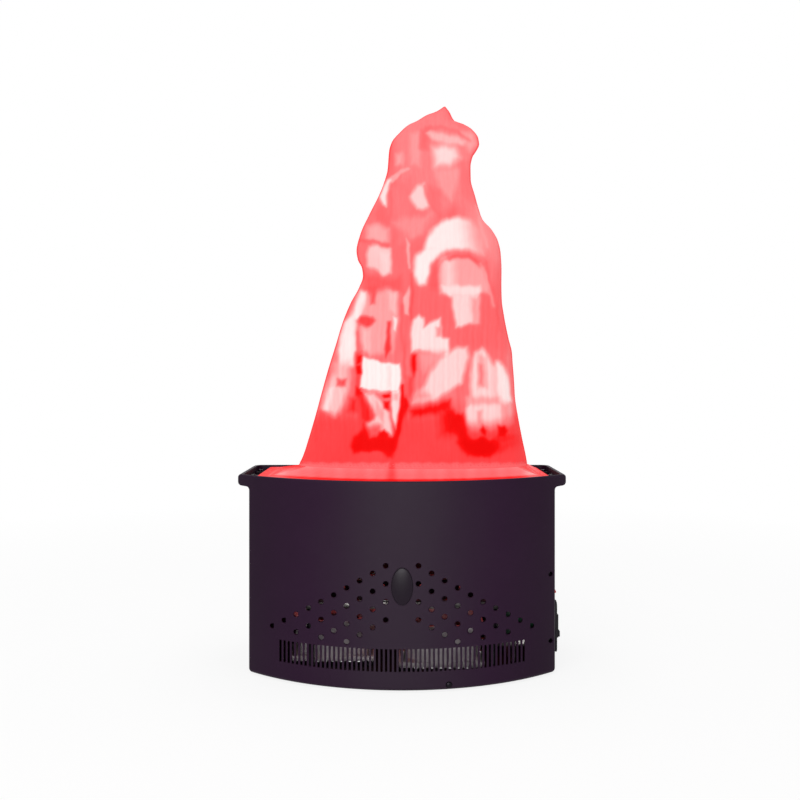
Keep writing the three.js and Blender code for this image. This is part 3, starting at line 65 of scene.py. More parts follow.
# Housing, the same sizes as the part's source
HALF, FRONT, REAR = 145.0, -80.0, 80.0
BOW_RISE, WALL = 53.0, 2.5
NOSE_R, HEEL_R, BOTTOM_R, LIP = 5.0, 8.0, 4.0, 7.0
BOTTOM, RIM_TOP = 1.0, 187.5
RIM_LOW, RIM_HALF, RIM_WALL = 176.7, 157.5, 5.5
RIM_NOSE, RIM_FILLET, RIM_ROUND, RIM_STEP = 3.2, 3.4, 1.3, 0.3
LEDGE_TOP, LEDGE_PROUD = 180.2, 0.02
BOW_R = (HALF**2 + BOW_RISE**2) / (2 * BOW_RISE)
BOW_Y = FRONT + BOW_R

# Openings in the housing
VENT_COLUMNS, VENT_ROWS, VENT_R, VENT_CHAMFER = 10, 4, 2.5, 0.4
VENT_X, VENT_TOP, VENT_LOWEST = 14.6, 112.6, 42.0
VENT_PITCH, VENT_FALL, VENT_ROW_PITCH = 11.73, 6.96, 16.05
VENT_SIDES, VENT_REACH = 20, 12
SLOTS_A_SIDE, SLOT_PITCH, SLOT_HALF, SLOT_LOW, SLOT_TOP = 28, 4.07, 1.1, 18.4, 38.7
OVAL_HALF, OVAL_TALL, OVAL_Z, OVAL_SIDES = 9.5, 16.5, 94.4, 48
OVAL_GAP, OVAL_SHELF, OVAL_DEPTH = 0.3, 1.6, 1.5
BOSS_X, BOSS_LEVELS, BOSS_R, BOSS_END = 139.8, (32.2, 95.0), 3.8, -22.05
SCREW_R, BRACKET_HEAD_R, BRACKET_HEAD_Y, BRACKET_HOLE_END = 1.6, 2.3, -24.0, -21.0
BASE_SCREW_FRONT, BASE_SCREW_REAR, BASE_SCREW_Z = 41.8, 100.0, 5.8
BASE_HEAD_R, BASE_HEAD_DEEP, BASE_HOLE_DEEP = 3.1, 1.8, 3.5
SIDE_Y, SWITCH_Z, INLET_Z = -5.0, 78.0, 42.0
SWITCH_OPENING, INLET_OPENING = (6.6, 9.6), (13.8, 15.3)
INLET_SCREW_R, INLET_SCREW_REACH = 1.8, 20.0
FRAME_SCREW_R, FRAME_SCREW_X, FRAME_SCREW_LOW, FRAME_SCREW_PLACES = 1.7, 147.25, 178.0, (12, 60)

# Frame of the silk, skirt and flame
FRAME_HALF, FRAME_SHIFT, FRAME_INSET, FRAME_WIDTH = 139.5, 1.2, 4.5, 8.0
SKIRT_LOW, SKIRT_SEWN = 184.8, 194.4
HEM_OUT, HEM_DROP, HEM_ROUND, HEM_STITCHES = 1.1, 2.0, 0.5, 0.9
SILK, CLOTH = 0.8, 0.35
FLAME_BASE, FLAME_TALL, FLAME_HALF = 195.5, 345.0, 111.0
FLAME_X, FLAME_Y, FLAME_DEEP = 10.6, 5.0, 45.0

# Front view: the camera, and how places fall in its 800 by 800 pixels
CAMERA_X, CAMERA_Y, CAMERA_Z = -1.9, -880.0, 277.7
LENS, SENSOR, SHIFT_UP = 40.57, 36.0, -0.025
VIEW_SCALE, MIDDLE_COLUMN, MIDDLE_ROW = 901.6, 402, 380


def wall_front(x, inset=0.0):
    return BOW_Y - math.sqrt((BOW_R - inset) ** 2 - x * x)


def plan(side, inset, z, bow_steps=72, corner_steps=8):
    """The housing's outline at a level: the bow, the right side, the rear and the left side."""
    nose = max(NOSE_R - inset, NOSE_R / 4)
    heel = max(HEEL_R - inset, NOSE_R / 4)
    bow = BOW_R - inset
    own = math.asin((side - nose) / (bow - nose))
    # the stretch of the bow that all outlines share, so that rings of any width match
    shared = 0.985 * math.asin((HALF - NOSE_R) / (BOW_R - NOSE_R))
    back = BOW_Y - (bow - nose) * math.cos(own)
    points = []

    def arc(x, y, radius, start, end, steps):
        for i in range(steps + 1):
            a = start + (end - start) * i / steps
            points.append((x + radius * math.sin(a), y - radius * math.cos(a), z))

    arc(0, BOW_Y, bow, -shared, shared, bow_steps)
    arc(side - nose, back, nose, own, math.pi / 2, corner_steps)
    arc(side - heel, REAR - inset - heel, heel, math.pi / 2, math.pi, corner_steps)
    arc(heel - side, REAR - inset - heel, heel, math.pi, math.pi * 1.5, corner_steps)
    arc(nose - side, back, nose, math.pi * 1.5, math.pi * 2 - own, corner_steps)
    return points


# Meshes


def mesh_object(name, verts, faces):
    mesh = bpy.data.meshes.new(name)
    mesh.from_pydata([[c * MM for c in v] for v in verts], [], faces)
    mesh.validate()
    mesh.update()
    made = bpy.data.objects.new(name, mesh)
    scene.collection.objects.link(made)
    return made


def turns(count):
    """Equal angles around a full turn."""
    return [2 * math.pi * i / count for i in range(count)]


def band(low, high, count):
    """Four-sided faces between two rings of points, each given by its first point's number."""
    return [(low + i, low + (i + 1) % count, high + (i + 1) % count, high + i) for i in range(count)]


def lofted(name, rings, looped=False, caps=True):
    """A surface between rings of equally many points. Its ends are closed unless it is looped."""
    count = len(rings[0])
    verts = [p for ring in rings for p in ring]
    last = len(verts) - count
    faces = []
    for low in range(0, len(verts) if looped else last, count):
        faces += band(low, (low + count) % len(verts), count)
    if caps and not looped:
        faces += [tuple(reversed(range(count))), tuple(range(last, last + count))]
    return mesh_object(name, verts, faces)


def block(low, high):
    (x0, y0, z0), (x1, y1, z1) = low, high
    verts = [(x, y, z) for z in (z0, z1) for x, y in ((x0, y0), (x1, y0), (x1, y1), (x0, y1))]
    faces = [(3, 2, 1, 0), (4, 5, 6, 7), (0, 1, 5, 4), (1, 2, 6, 5), (2, 3, 7, 6), (3, 0, 4, 7)]
    return verts, faces


def rod(radius, start, end, sides=24):
    a, b = Vector(start), Vector(end)
    turn = Vector((0, 0, 1)).rotation_difference(b - a)
    arms = [turn @ Vector((radius * math.cos(t), radius * math.sin(t), 0)) for t in turns(sides)]
    verts = [tuple(p + arm) for p in (a, b) for arm in arms]
    return verts, [tuple(reversed(range(sides))), tuple(range(sides, 2 * sides)), *band(0, sides, sides)]


def plug_along_y(x, z, rings, sides):
    """A closed shape around a line along Y, from rings of y, half-width and half-height."""
    verts = []
    for y, wide, tall in rings:
        verts += [(x + wide * math.cos(a), y, z + tall * math.sin(a)) for a in turns(sides)]
    last = len(verts) - sides
    faces = [tuple(range(sides)), tuple(reversed(range(last, len(verts))))]
    for start in range(0, last, sides):
        faces += band(start + sides, start, sides)
    return verts, faces


def merged(name, shapes):
    verts, faces = [], []
    for v, f in shapes:
        start = len(verts)
        verts += v
        faces += [tuple(i + start for i in face) for face in f]
    return mesh_object(name, verts, faces)


def apply_modifiers(obj):
    graph = bpy.context.evaluated_depsgraph_get()
    done = bpy.data.meshes.new_from_object(obj.evaluated_get(graph))
    old = obj.data
    obj.modifiers.clear()
    obj.data = done
    bpy.data.meshes.remove(old)


def combine(obj, operation, *others):
    """Joins other meshes to this one (UNION) or cuts them out of it (DIFFERENCE)."""
    for other in others:
        step = obj.modifiers.new("combine", "BOOLEAN")
        step.operation, step.solver, step.object = operation, "EXACT", other
    apply_modifiers(obj)
    for other in others:
        bpy.data.objects.remove(other)


def smooth(obj, degrees):
    """Smooth shading that stays sharp at edges above the angle."""
    mesh = obj.data
    mesh.polygons.foreach_set("use_smooth", [True] * len(mesh.polygons))
    mesh.set_sharp_from_angle(angle=math.radians(degrees))
    mesh.update()


def dress(obj, material):
    obj.data.materials.clear()
    obj.data.materials.append(material)


SAME_POINT = 2e-6  # metres
FLAT_WITHIN, ROUNDED_ABOVE = math.radians(0.5), math.radians(40)


def smooth_copy(node, name, degrees, bevel):
    """A piece that stands for a CAD node: its own mesh, joined up, with soft edges and smooth curves."""
    source = nodes[node]
    mesh = source.data.copy()
    piece = bpy.data.objects.new(name, mesh)
    scene.collection.objects.link(piece)
    work = bmesh.new()
    work.from_mesh(mesh)
    bmesh.ops.remove_doubles(work, verts=work.verts, dist=SAME_POINT)
    bmesh.ops.dissolve_limit(
        work, angle_limit=FLAT_WITHIN, verts=work.verts, edges=work.edges, delimit={"NORMAL"}
    )
    work.to_mesh(mesh)
    work.free()
    for layer in ("custom_normal", "sharp_edge", "sharp_face"):
        if layer in mesh.attributes:
            mesh.attributes.remove(mesh.attributes[layer])
    if bevel:
        edge = piece.modifiers.new("edge", "BEVEL")
        edge.width, edge.segments, edge.limit_method = bevel * MM, 2, "ANGLE"
        edge.angle_limit = ROUNDED_ABOVE
        edge.harden_normals = True
        apply_modifiers(piece)
    smooth(piece, degrees)
    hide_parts(node)
    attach(piece, source["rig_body"])
    return piece


# Materials

WHITE = (1, 1, 1, 1)


class Nodes:
    """Short ways to add nodes to a node tree."""

    def __init__(self, owner):
        owner.use_nodes = True
        self.nodes, self.links = owner.node_tree.nodes, owner.node_tree.links

    def add(self, kind, inputs=(), **settings):
        node = self.nodes.new(kind)
        for key, value in settings.items():
            setattr(node, key, value)
        for key, value in dict(inputs).items():
            self.put(node.inputs[key], value)
        return node

    def put(self, socket, value):
        if isinstance(value, bpy.types.NodeSocket):
            self.links.new(value, socket)
        else:
            socket.default_value = value

    def math(self, operation, a, b=0.0, c=0.0):
        return self.add("ShaderNodeMath", {0: a, 1: b, 2: c}, operation=operation).outputs[0]

    def show(self, shader, output):
        self.links.new(shader, self.nodes[output].inputs["Surface"])


class Shader(Nodes):
    """A material with a Principled shader, and short ways to what its looks need."""

    def __init__(self, name, **values):
        self.material = bpy.data.materials.new(name)
        super().__init__(self.material)
        self.shader = self.nodes["Principled BSDF"]
        for key, value in values.items():
            self.shader.inputs[key.replace("_", " ")].default_value = value

    def spread(self, value, middle, width):
        """A value of 0 to 1 turned into one that varies around a middle."""
        return self.math("MULTIPLY_ADD", value, width, middle - width / 2)

    def coords(self):
        return self.add("ShaderNodeTexCoord").outputs["Object"]

    def noise(self, scale, detail=3.0, roughness=0.5, at=None):
        inputs = {"Scale": scale, "Detail": detail, "Roughness": roughness, "Vector": at or self.coords()}
        return self.add("ShaderNodeTexNoise", inputs).outputs["Fac"]

    def ramp(self, value, *stops):
        node = self.add("ShaderNodeValToRGB", {"Fac": value})
        ramp = node.color_ramp
        while len(ramp.elements) < len(stops):
            ramp.elements.new(0.5)
        for element, (place, color) in zip(ramp.elements, stops):
            element.position = place
            element.color = (*color, 1)
        return node.outputs["Color"]

    def mix(self, share, a, b):
        node = self.add("ShaderNodeMix", {"Factor": share, "A": a, "B": b}, data_type="RGBA")
        return node.outputs["Result"]

    def drawn_out(self, share):
        """Places at which a texture is drawn out along Z into streaks."""
        return self.add("ShaderNodeMapping", {"Vector": self.coords(), "Scale": (1, 1, share)}).outputs[0]

    def bump(self, height, strength, distance):
        node = self.add("ShaderNodeBump", {"Height": height, "Strength": strength, "Distance": distance})
        self.links.new(node.outputs["Normal"], self.shader.inputs["Normal"])

    def feed(self, key, value):
        self.put(self.shader.inputs[key], value)


def rgb(red, green, blue):
    """Linear values of an sRGB colour written in 0 to 255."""
    parts = [c / 255 for c in (red, green, blue)]
    return tuple(c / 12.92 if c <= 0.04045 else ((c + 0.055) / 1.055) ** 2.4 for c in parts)


def moulded(name, low, high, roughness, grain=900.0, depth=0.00002, cloud=6.0, specular=0.3):
    """Moulded plastic: a fine spark-eroded grain, with colour and gloss that drift a little."""
    s = Shader(name, Specular_IOR_Level=specular)
    drift = s.noise(cloud, 4.0, 0.6)
    s.feed("Base Color", s.ramp(drift, (0.35, low), (0.65, high)))
    s.feed("Roughness", s.spread(s.noise(40.0), roughness, 0.12))
    s.bump(s.noise(grain, 2.0), 0.35, depth)
    return s.material


def metal(name, color, roughness, streak=400.0):
    s = Shader(name, Metallic=1.0)
    lines = s.noise(streak, 4.0, 0.6, at=s.drawn_out(0.06))
    s.feed("Base Color", s.ramp(lines, (0.3, tuple(c * 0.82 for c in color)), (0.7, color)))
    s.feed("Roughness", s.spread(lines, roughness, 0.16))
    s.bump(lines, 0.15, 0.00003)
    return s.material


def housing_look():
    """The moulded shell: greyer in the middle of its bow, with painted shade that makes it darker and more
    violet towards its sides, and a little worn.
    """
    s = Shader("housing_plastic", Specular_IOR_Level=0.09)
    at = s.add("ShaderNodeSeparateXYZ", {0: s.coords()})
    side = s.math("ABSOLUTE", at.outputs["X"])
    patch = s.spread(s.noise(11.0, 4.0, 0.6), 0, 0.07)
    # painted shade: darker and more violet towards the bow's sides, which turn away from the front light
    across = ((0.02, rgb(40, 28, 41)), (0.085, rgb(36, 16, 37)), (0.15, rgb(28, 8, 29)))
    color = s.ramp(s.math("ADD", side, patch), *across)
    rub = s.ramp(s.noise(160.0, 6.0, 0.75), (0.62, (0, 0, 0)), (0.8, (1, 1, 1)))
    s.feed("Base Color", s.mix(s.math("MULTIPLY", rub, 0.12), color, (*rgb(72, 62, 76), 1)))
    s.feed("Roughness", s.spread(s.noise(40.0), 0.49, 0.14))
    s.bump(s.noise(900.0, 2.0), 0.35, 0.00002)
    return s.material


housing_plastic = housing_look()
oval_plastic = moulded("oval_plastic", rgb(14, 3, 16), rgb(22, 7, 24), 0.34, grain=1500.0, specular=0.16)
black_plastic = moulded("black_plastic", rgb(16, 13, 18), rgb(26, 22, 28), 0.5, specular=0.16)
frame_plastic = moulded("frame_plastic", rgb(20, 13, 20), rgb(30, 21, 30), 0.55, specular=0.15)
rubber = moulded("foot_rubber", rgb(14, 14, 15), rgb(26, 25, 27), 0.82, grain=700.0, depth=0.00005)
rotor_plastic = moulded("rotor_plastic", rgb(20, 18, 22), rgb(32, 29, 33), 0.4)
fan_metal = moulded("fan_cast", rgb(176, 168, 172), rgb(206, 198, 201), 0.5, grain=500.0, cloud=60.0)
zinc = metal("zinc_sheet", rgb(186, 182, 180), 0.38)
dark_screw = metal("dark_screw", rgb(34, 31, 36), 0.36)
brass = metal("pin_brass", rgb(214, 184, 116), 0.3)
laminations = metal("core_laminations", rgb(120, 116, 118), 0.5, streak=900.0)

# Housing

# Along a rounded edge, in shares of its radius: what is left of the way in, and what is done of the way up
QUARTER = [(1 - math.sin(a), 1 - math.cos(a)) for a in np.linspace(0, math.pi / 2, 6)]


def housing_skin():
    """The shell's skin: up the outside from its rounded foot, over the rim and down the inside."""
    rings = [plan(HALF - BOTTOM_R * s, BOTTOM_R * s, BOTTOM + BOTTOM_R * c) for s, c in QUARTER]
    rings += [plan(HALF + RIM_FILLET * c, 0, RIM_LOW - RIM_FILLET * s) for s, c in QUARTER]
    rings += [plan(RIM_HALF - RIM_NOSE * s, 0, RIM_LOW + RIM_STEP + RIM_NOSE * c) for s, c in QUARTER]
    rings += [plan(RIM_HALF - RIM_NOSE * c, RIM_ROUND * c, RIM_TOP - RIM_NOSE * s) for s, c in QUARTER]
    # down the inside, past the ledges and to the lip
    rim, ledge, inner = RIM_HALF - RIM_WALL, WALL - LEDGE_PROUD, BOTTOM + WALL
    rings += [plan(rim, ledge, RIM_TOP), plan(rim, ledge, LEDGE_TOP), plan(HALF - WALL, WALL, LEDGE_TOP)]
    rings += [plan(HALF - WALL, WALL, BOTTOM + BOTTOM_R), plan(HALF - BOTTOM_R, BOTTOM_R, inner)]
    rings += [plan(HALF - LIP, LIP, inner), plan(HALF - LIP, LIP, BOTTOM)]
    return lofted("housing_fine", rings, looped=True)


def vent(x, z):
    """A round hole through the front, a little wider where it meets the outside."""
    face = wall_front(x)
    rings = (-1, VENT_R + VENT_CHAMFER + 1), (VENT_CHAMFER, VENT_R), (VENT_REACH, VENT_R)
    return plug_along_y(x, z, [(face + depth, r, r) for depth, r in rings], VENT_SIDES)


def oval_plug(grow, depth):
    rings = [(y, OVAL_HALF + grow, OVAL_TALL + grow) for y in (FRONT - 1, FRONT + depth)]
    return plug_along_y(0, OVAL_Z, rings, OVAL_SIDES)


def open_front(through, wider):
    """Vents in a V, a band of slots, and the oval's seat, which has a shelf around its opening."""
    for column in range(VENT_COLUMNS):
        x = VENT_X + column * VENT_PITCH
        for row in range(VENT_ROWS):
            z = VENT_TOP - column * VENT_FALL - row * VENT_ROW_PITCH
            if z >= VENT_LOWEST:
                through += [vent(x, z), vent(-x, z)]
    for i in range(SLOTS_A_SIDE):
        x = SLOT_PITCH * (i + 0.5)
        low, high = wall_front(x) - 1, wall_front(x + SLOT_PITCH, WALL) + 1
        for middle in (x, -x):
            through.append(block((middle - SLOT_HALF, low, SLOT_LOW), (middle + SLOT_HALF, high, SLOT_TOP)))
    through.append(oval_plug(OVAL_GAP - OVAL_SHELF, WALL + 1))
    wider.append(oval_plug(OVAL_GAP, OVAL_DEPTH))


def open_screws(through, wider):
    """Holes and head recesses for the screws of the base plate and of the power bracket."""
    places = [(BASE_SCREW_FRONT, wall_front(BASE_SCREW_FRONT), 1)]
    places += [(x, REAR, -1) for x in (-BASE_SCREW_REAR, BASE_SCREW_REAR)]
    for x, y, inwards in places:
        for cuts, radius, deep in ((through, SCREW_R, BASE_HOLE_DEEP), (wider, BASE_HEAD_R, BASE_HEAD_DEEP)):
            cuts.append(rod(radius, (x, y - inwards, BASE_SCREW_Z), (x, y + inwards * deep, BASE_SCREW_Z)))
    outside = wall_front(BOSS_X) - BOSS_R
    for z in BOSS_LEVELS:
        through.append(rod(SCREW_R, (BOSS_X, outside, z), (BOSS_X, BRACKET_HOLE_END, z)))
        wider.append(rod(BRACKET_HEAD_R, (BOSS_X, outside, z), (BOSS_X, BRACKET_HEAD_Y, z)))


def open_right_wall(through):
    """Openings for the switch and the inlet, and the inlet's screw holes above and below it."""
    inner, outer = HALF - WALL - 1, HALF + 1
    for z, (half_y, half_z) in ((SWITCH_Z, SWITCH_OPENING), (INLET_Z, INLET_OPENING)):
        through.append(block((inner, SIDE_Y - half_y, z - half_z), (outer, SIDE_Y + half_y, z + half_z)))
    for z in (INLET_Z - INLET_SCREW_REACH, INLET_Z + INLET_SCREW_REACH):
        through.append(rod(INLET_SCREW_R, (inner, SIDE_Y, z), (outer, SIDE_Y, z)))


def build_housing():
    shell = housing_skin()
    start = wall_front(BOSS_X, WALL) - WALL / 2
    bosses = [rod(BOSS_R, (BOSS_X, start, z), (BOSS_X, BOSS_END, z)) for z in BOSS_LEVELS]
    combine(shell, "UNION", merged("bosses", bosses))
    through, wider = [], []
    open_front(through, wider)
    open_screws(through, wider)
    open_right_wall(through)
    for x in (-FRAME_SCREW_X, FRAME_SCREW_X):
        for y in FRAME_SCREW_PLACES:
            through.append(rod(FRAME_SCREW_R, (x, y, FRAME_SCREW_LOW), (x, y, LEDGE_TOP + 1)))
    combine(shell, "DIFFERENCE", merged("through", through), merged("wider", wider))
    curve_normals(shell)
    dress(shell, housing_plastic)
    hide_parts("housing_shell")
    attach(shell, "housing")


def all_values(items, key, width, kind=np.float32):
    """One value of every item of a mesh, in rows of the given width."""
    values = np.empty(len(items) * width, dtype=kind)
    items.foreach_get(key, values)
    return values.reshape(-1, width)


def curve_normals(obj):
    """The bow's faces get the normals of the true curve, so that its long facets shade as one surface."""
    smooth(obj, 32)
    mesh = obj.data
    normals = all_values(mesh.corner_normals, "vector", 3)
    points = all_values(mesh.vertices, "co", 3) / MM
    corner = all_values(mesh.loops, "vertex_index", 1, np.int32)[:, 0]
    sizes = all_values(mesh.polygons, "loop_total", 1, np.int32)[:, 0]
    faces = np.repeat(all_values(mesh.polygons, "normal", 3), sizes, axis=0)
    away = points[corner] - np.array([0, BOW_Y, 0])
    reach = np.hypot(away[:, 0], away[:, 1])
    true = np.stack([away[:, 0] / reach, away[:, 1] / reach, np.zeros(len(reach))], axis=1)
    agree = (faces * true).sum(axis=1)
    on_bow = (np.abs(reach - BOW_R) < 0.08) & (agree > 0.985)
    normals[on_bow] = true[on_bow]
    mesh.normals_split_custom_set([tuple(n) for n in normals.astype(float)])


# Rings of the oval's edge: how far inside its outline, and how far in front of the housing's face
OVAL_EDGE = [
    (OVAL_SHELF, -1.7), (OVAL_SHELF, -1.35), (0.15, -1.2), (0, -1), (0, 0.35), (0.15, 0.7), (0.45, 0.88),
    (0.8, 0.9),
]
OVAL_RIDGES, OVAL_CROWN, OVAL_RIDGE_RISE = 8, 1.02, 0.08
OVAL_MIDDLE = (8.6, 15.6)


def oval_ring(narrower, shorter, rise):
    wide, tall = OVAL_HALF - narrower, OVAL_TALL - shorter
    return [(wide * math.cos(a), FRONT - rise, OVAL_Z + tall * math.sin(a)) for a in turns(OVAL_SIDES)]


def build_badge():
    """A crowned oval with plain concentric ridges."""
    rings = [oval_ring(inset, inset, rise) for inset, rise in OVAL_EDGE]
    edge, face = OVAL_EDGE[-1]
    for i in range(1, OVAL_RIDGES + 1):
        share = i / (OVAL_RIDGES + 0.5)
        rise = face + OVAL_CROWN * math.sin(math.pi / 2 * share) ** 0.8 + OVAL_RIDGE_RISE * (i % 2)
        rings.append(oval_ring(edge + OVAL_MIDDLE[0] * share, edge + OVAL_MIDDLE[1] * share, rise))
    badge = lofted("oval_fine", rings)
    smooth(badge, 50)
    dress(badge, oval_plastic)
    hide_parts("badge_oval")
    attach(badge, "housing")


# Silk flame

# The outline's two edges in the front view's pixels, from the foot to the tip: row, column, row, column
LEFT_EDGE = [
    464.7, 299.1, 455, 303.5, 438, 309, 416, 315.5, 392, 322, 369.5, 328.3, 344, 336.2, 323, 342.6,
    303, 350.8, 288, 359, 276, 363, 268, 362, 260, 358, 251, 356.6, 235, 360.2, 214, 369.7, 197, 378.3,
    183, 384, 170, 387.6, 151, 389.2, 142, 392, 132, 400.5, 125, 408.5, 121, 417, 115, 427, 111.5, 436.5,
    107, 443.6,
]
RIGHT_EDGE = [
    464.7, 527.2, 457, 526, 438, 522, 417, 518, 397, 514.9, 381, 514, 363, 512.6, 352, 511.8, 339, 508.6,
    318.5, 504.4, 299, 501.7, 285, 501.4, 270, 501.5, 254, 500.7, 242, 498.2, 230.5, 492, 219.5, 482.4,
    210, 479, 195.5, 474.9, 179.5, 470.8, 167, 470.6, 157, 472.6, 151, 476.4, 144.5, 479.2, 138, 478.2,
    129.5, 472, 124, 463, 121, 454.6, 112, 449.4, 107, 445.6,
]


def eased(xs, ys, at):
    """Values between the points of a table, along a smooth curve that doesn't swing past them."""
    ys, step = np.array(ys), np.diff(xs)
    slope = np.diff(ys) / step
    tangent = np.concatenate([[slope[0]], np.zeros(len(slope) - 1), [slope[-1]]])
    same = slope[:-1] * slope[1:] > 0
    tangent[1:-1][same] = 2 * slope[:-1][same] * slope[1:][same] / (slope[:-1] + slope[1:])[same]
    i = np.clip(np.searchsorted(xs, at, side="right") - 1, 0, len(step) - 1)
    t = (at - xs[i]) / step[i]
    low = ys[i] * (2 * t**3 - 3 * t**2 + 1) + ys[i + 1] * (3 * t**2 - 2 * t**3)
    return low + step[i] * (tangent[i] * (t**3 - 2 * t**2 + t) + tangent[i + 1] * (t**3 - t**2))


def bell(distance, width):
    """1 in the middle and nearly 0 two widths away."""
    return np.exp(-((distance / width) ** 2))


def hood(across, up, centre_across, centre_up, reach_across, reach_up):
    """A rim that stands out around an oval, most of all above it."""
    far = np.hypot((across - centre_across) / reach_across, (up - centre_up) / reach_up)
    above = np.where(up > centre_up, 1, 0.35)
    return 6 * above * bell(far - 1, 0.3)


# Both hoods of the flame: centre across and up, reach across and up, as shares of its size
HOODS = ((0.5, 0.6, 0.42, 0.09), (0.55, 0.5, 0.36, 0.07))


def fold_at(across, up):
    """How far the cloth stands out: the part's own pleats, seam and hoods."""
    pleats = 2.6 * np.cos(np.pi * (4.6 * across + 1.4 * up)) * (1 - up)
    seam = -7 * bell(across + 0.06, 0.16) * np.maximum(0, 1 - up / 0.6)
    return pleats + seam + sum(hood(across, up, *place) for place in HOODS)


def fine_folds(across, up, back):
    """Finer creases on them, others in front than behind."""
    shift = 1.7 * back
    wave = np.sin(23 * across + 6 * up + 1.3 * np.sin(9 * up + shift) + shift)
    small = np.sin(51 * across - 11 * up + 2 * np.sin(5 * across + 14 * up) + shift)
    cross = np.sin(70 * up + 7 * across + 2.2 * np.sin(12 * across + shift))
    waves = wave * (0.4 + bell(up, 0.2))
    return 0.7 + 0.55 * waves + 0.22 * small + 0.22 * cross * bell(up - 0.5, 0.25)


FOOT_ROW, TIP_ROW = LEFT_EDGE[0], LEFT_EDGE[-2]


def build_flame(rows=250, front_columns=260, back_columns=110):
    """Rings of the cloth between the outline's edges, from the foot to the tip, closed by a point."""
    share = np.linspace(0, 1, rows)
    seen_row = FOOT_ROW + (TIP_ROW - FOOT_ROW) * (share + 0.03 * np.sin(np.pi * share) ** 2 * share)
    edges = (eased(-np.array(edge[::2]), edge[1::2], -seen_row) for edge in (LEFT_EDGE, RIGHT_EDGE))
    left, right = (edge[:, None] for edge in edges)
    a_pixel = (FLAME_Y - CAMERA_Y) / VIEW_SCALE
    z = CAMERA_Z + (MIDDLE_ROW - seen_row[:, None]) * a_pixel
    up = np.clip((z - FLAME_BASE) / FLAME_TALL, 0, 0.9985)
    front = np.linspace(np.pi, 2 * np.pi, front_columns, endpoint=False)
    back = np.linspace(0, np.pi, back_columns, endpoint=False)
    angle = np.concatenate([back, front])[None, :]
    centre, wide = ((left + right) / 2 - MIDDLE_COLUMN) * a_pixel, (right - left) / 2 * a_pixel
    deep = FLAME_DEEP * (1 - up) ** 0.7 + SILK
    c, s = np.cos(angle), np.sin(angle)
    across = (centre + wide * c - FLAME_X) / FLAME_HALF
    body = np.abs(s) * np.minimum(1, deep / FLAME_DEEP + 0.25)
    start = np.minimum(1, up * 12)
    fold = start * body * (fold_at(across, up) + fine_folds(across, up, np.where(s > 0, 1.0, 0.0)))
    x = centre + wide * c
    y = FLAME_Y + deep * s + fold * np.sign(s)
    points = np.stack([x, y, np.broadcast_to(z, x.shape)], axis=-1)
    edge = np.minimum(x - x.min(axis=1, keepdims=True), x.max(axis=1, keepdims=True) - x).reshape(-1)
    columns = points.shape[1]
    tip = rows * columns
    verts = np.vstack([points.reshape(-1, 3), points[-1].mean(axis=0) + np.array([0, 0, 0.3])])
    faces = []
    for low in range(0, tip - columns, columns):
        faces += band(low, low + columns, columns)
    last = tip - columns
    faces += [(last + i, last + (i + 1) % columns, tip) for i in range(columns)]
    flame = mesh_object("flame_cloth", verts.tolist(), faces)
    smooth(flame, 180)
    return flame, verts, np.append(edge, 0), points


# Glow of the silk. The strokes are chosen and drawn in the front view's own pixels.


def seen_at(x, y, z):
    """The column and row of the front view at which a place on the object is seen."""
    depth = y - CAMERA_Y
    return MIDDLE_COLUMN + VIEW_SCALE * x / depth, MIDDLE_ROW + VIEW_SCALE * (CAMERA_Z - z) / depth


def near_line(px, py, points):
    near = np.full(px.shape, 1e9)
    for (ax, ay), (bx, by) in zip(points[:-1], points[1:]):
        ex, ey = bx - ax, by - ay
        t = np.clip(((px - ax) * ex + (py - ay) * ey) / (ex * ex + ey * ey), 0, 1)
        near = np.minimum(near, np.hypot(px - ax - t * ex, py - ay - t * ey))
    return near


def filled(px, py, corners, soft):
    """1 inside a polygon and 0 outside it, with a soft edge."""
    near = near_line(px, py, corners + corners[:1])
    inside = np.zeros(px.shape, dtype=bool)
    for (ax, ay), (bx, by) in zip(corners, corners[1:] + corners[:1]):
        if ay != by:
            inside ^= ((ay > py) != (by > py)) & (px < ax + (py - ay) * (bx - ax) / (by - ay))
    t = np.clip(np.where(inside, near, -near) / (2 * soft) + 0.5, 0, 1)
    return t * t * (3 - 2 * t)
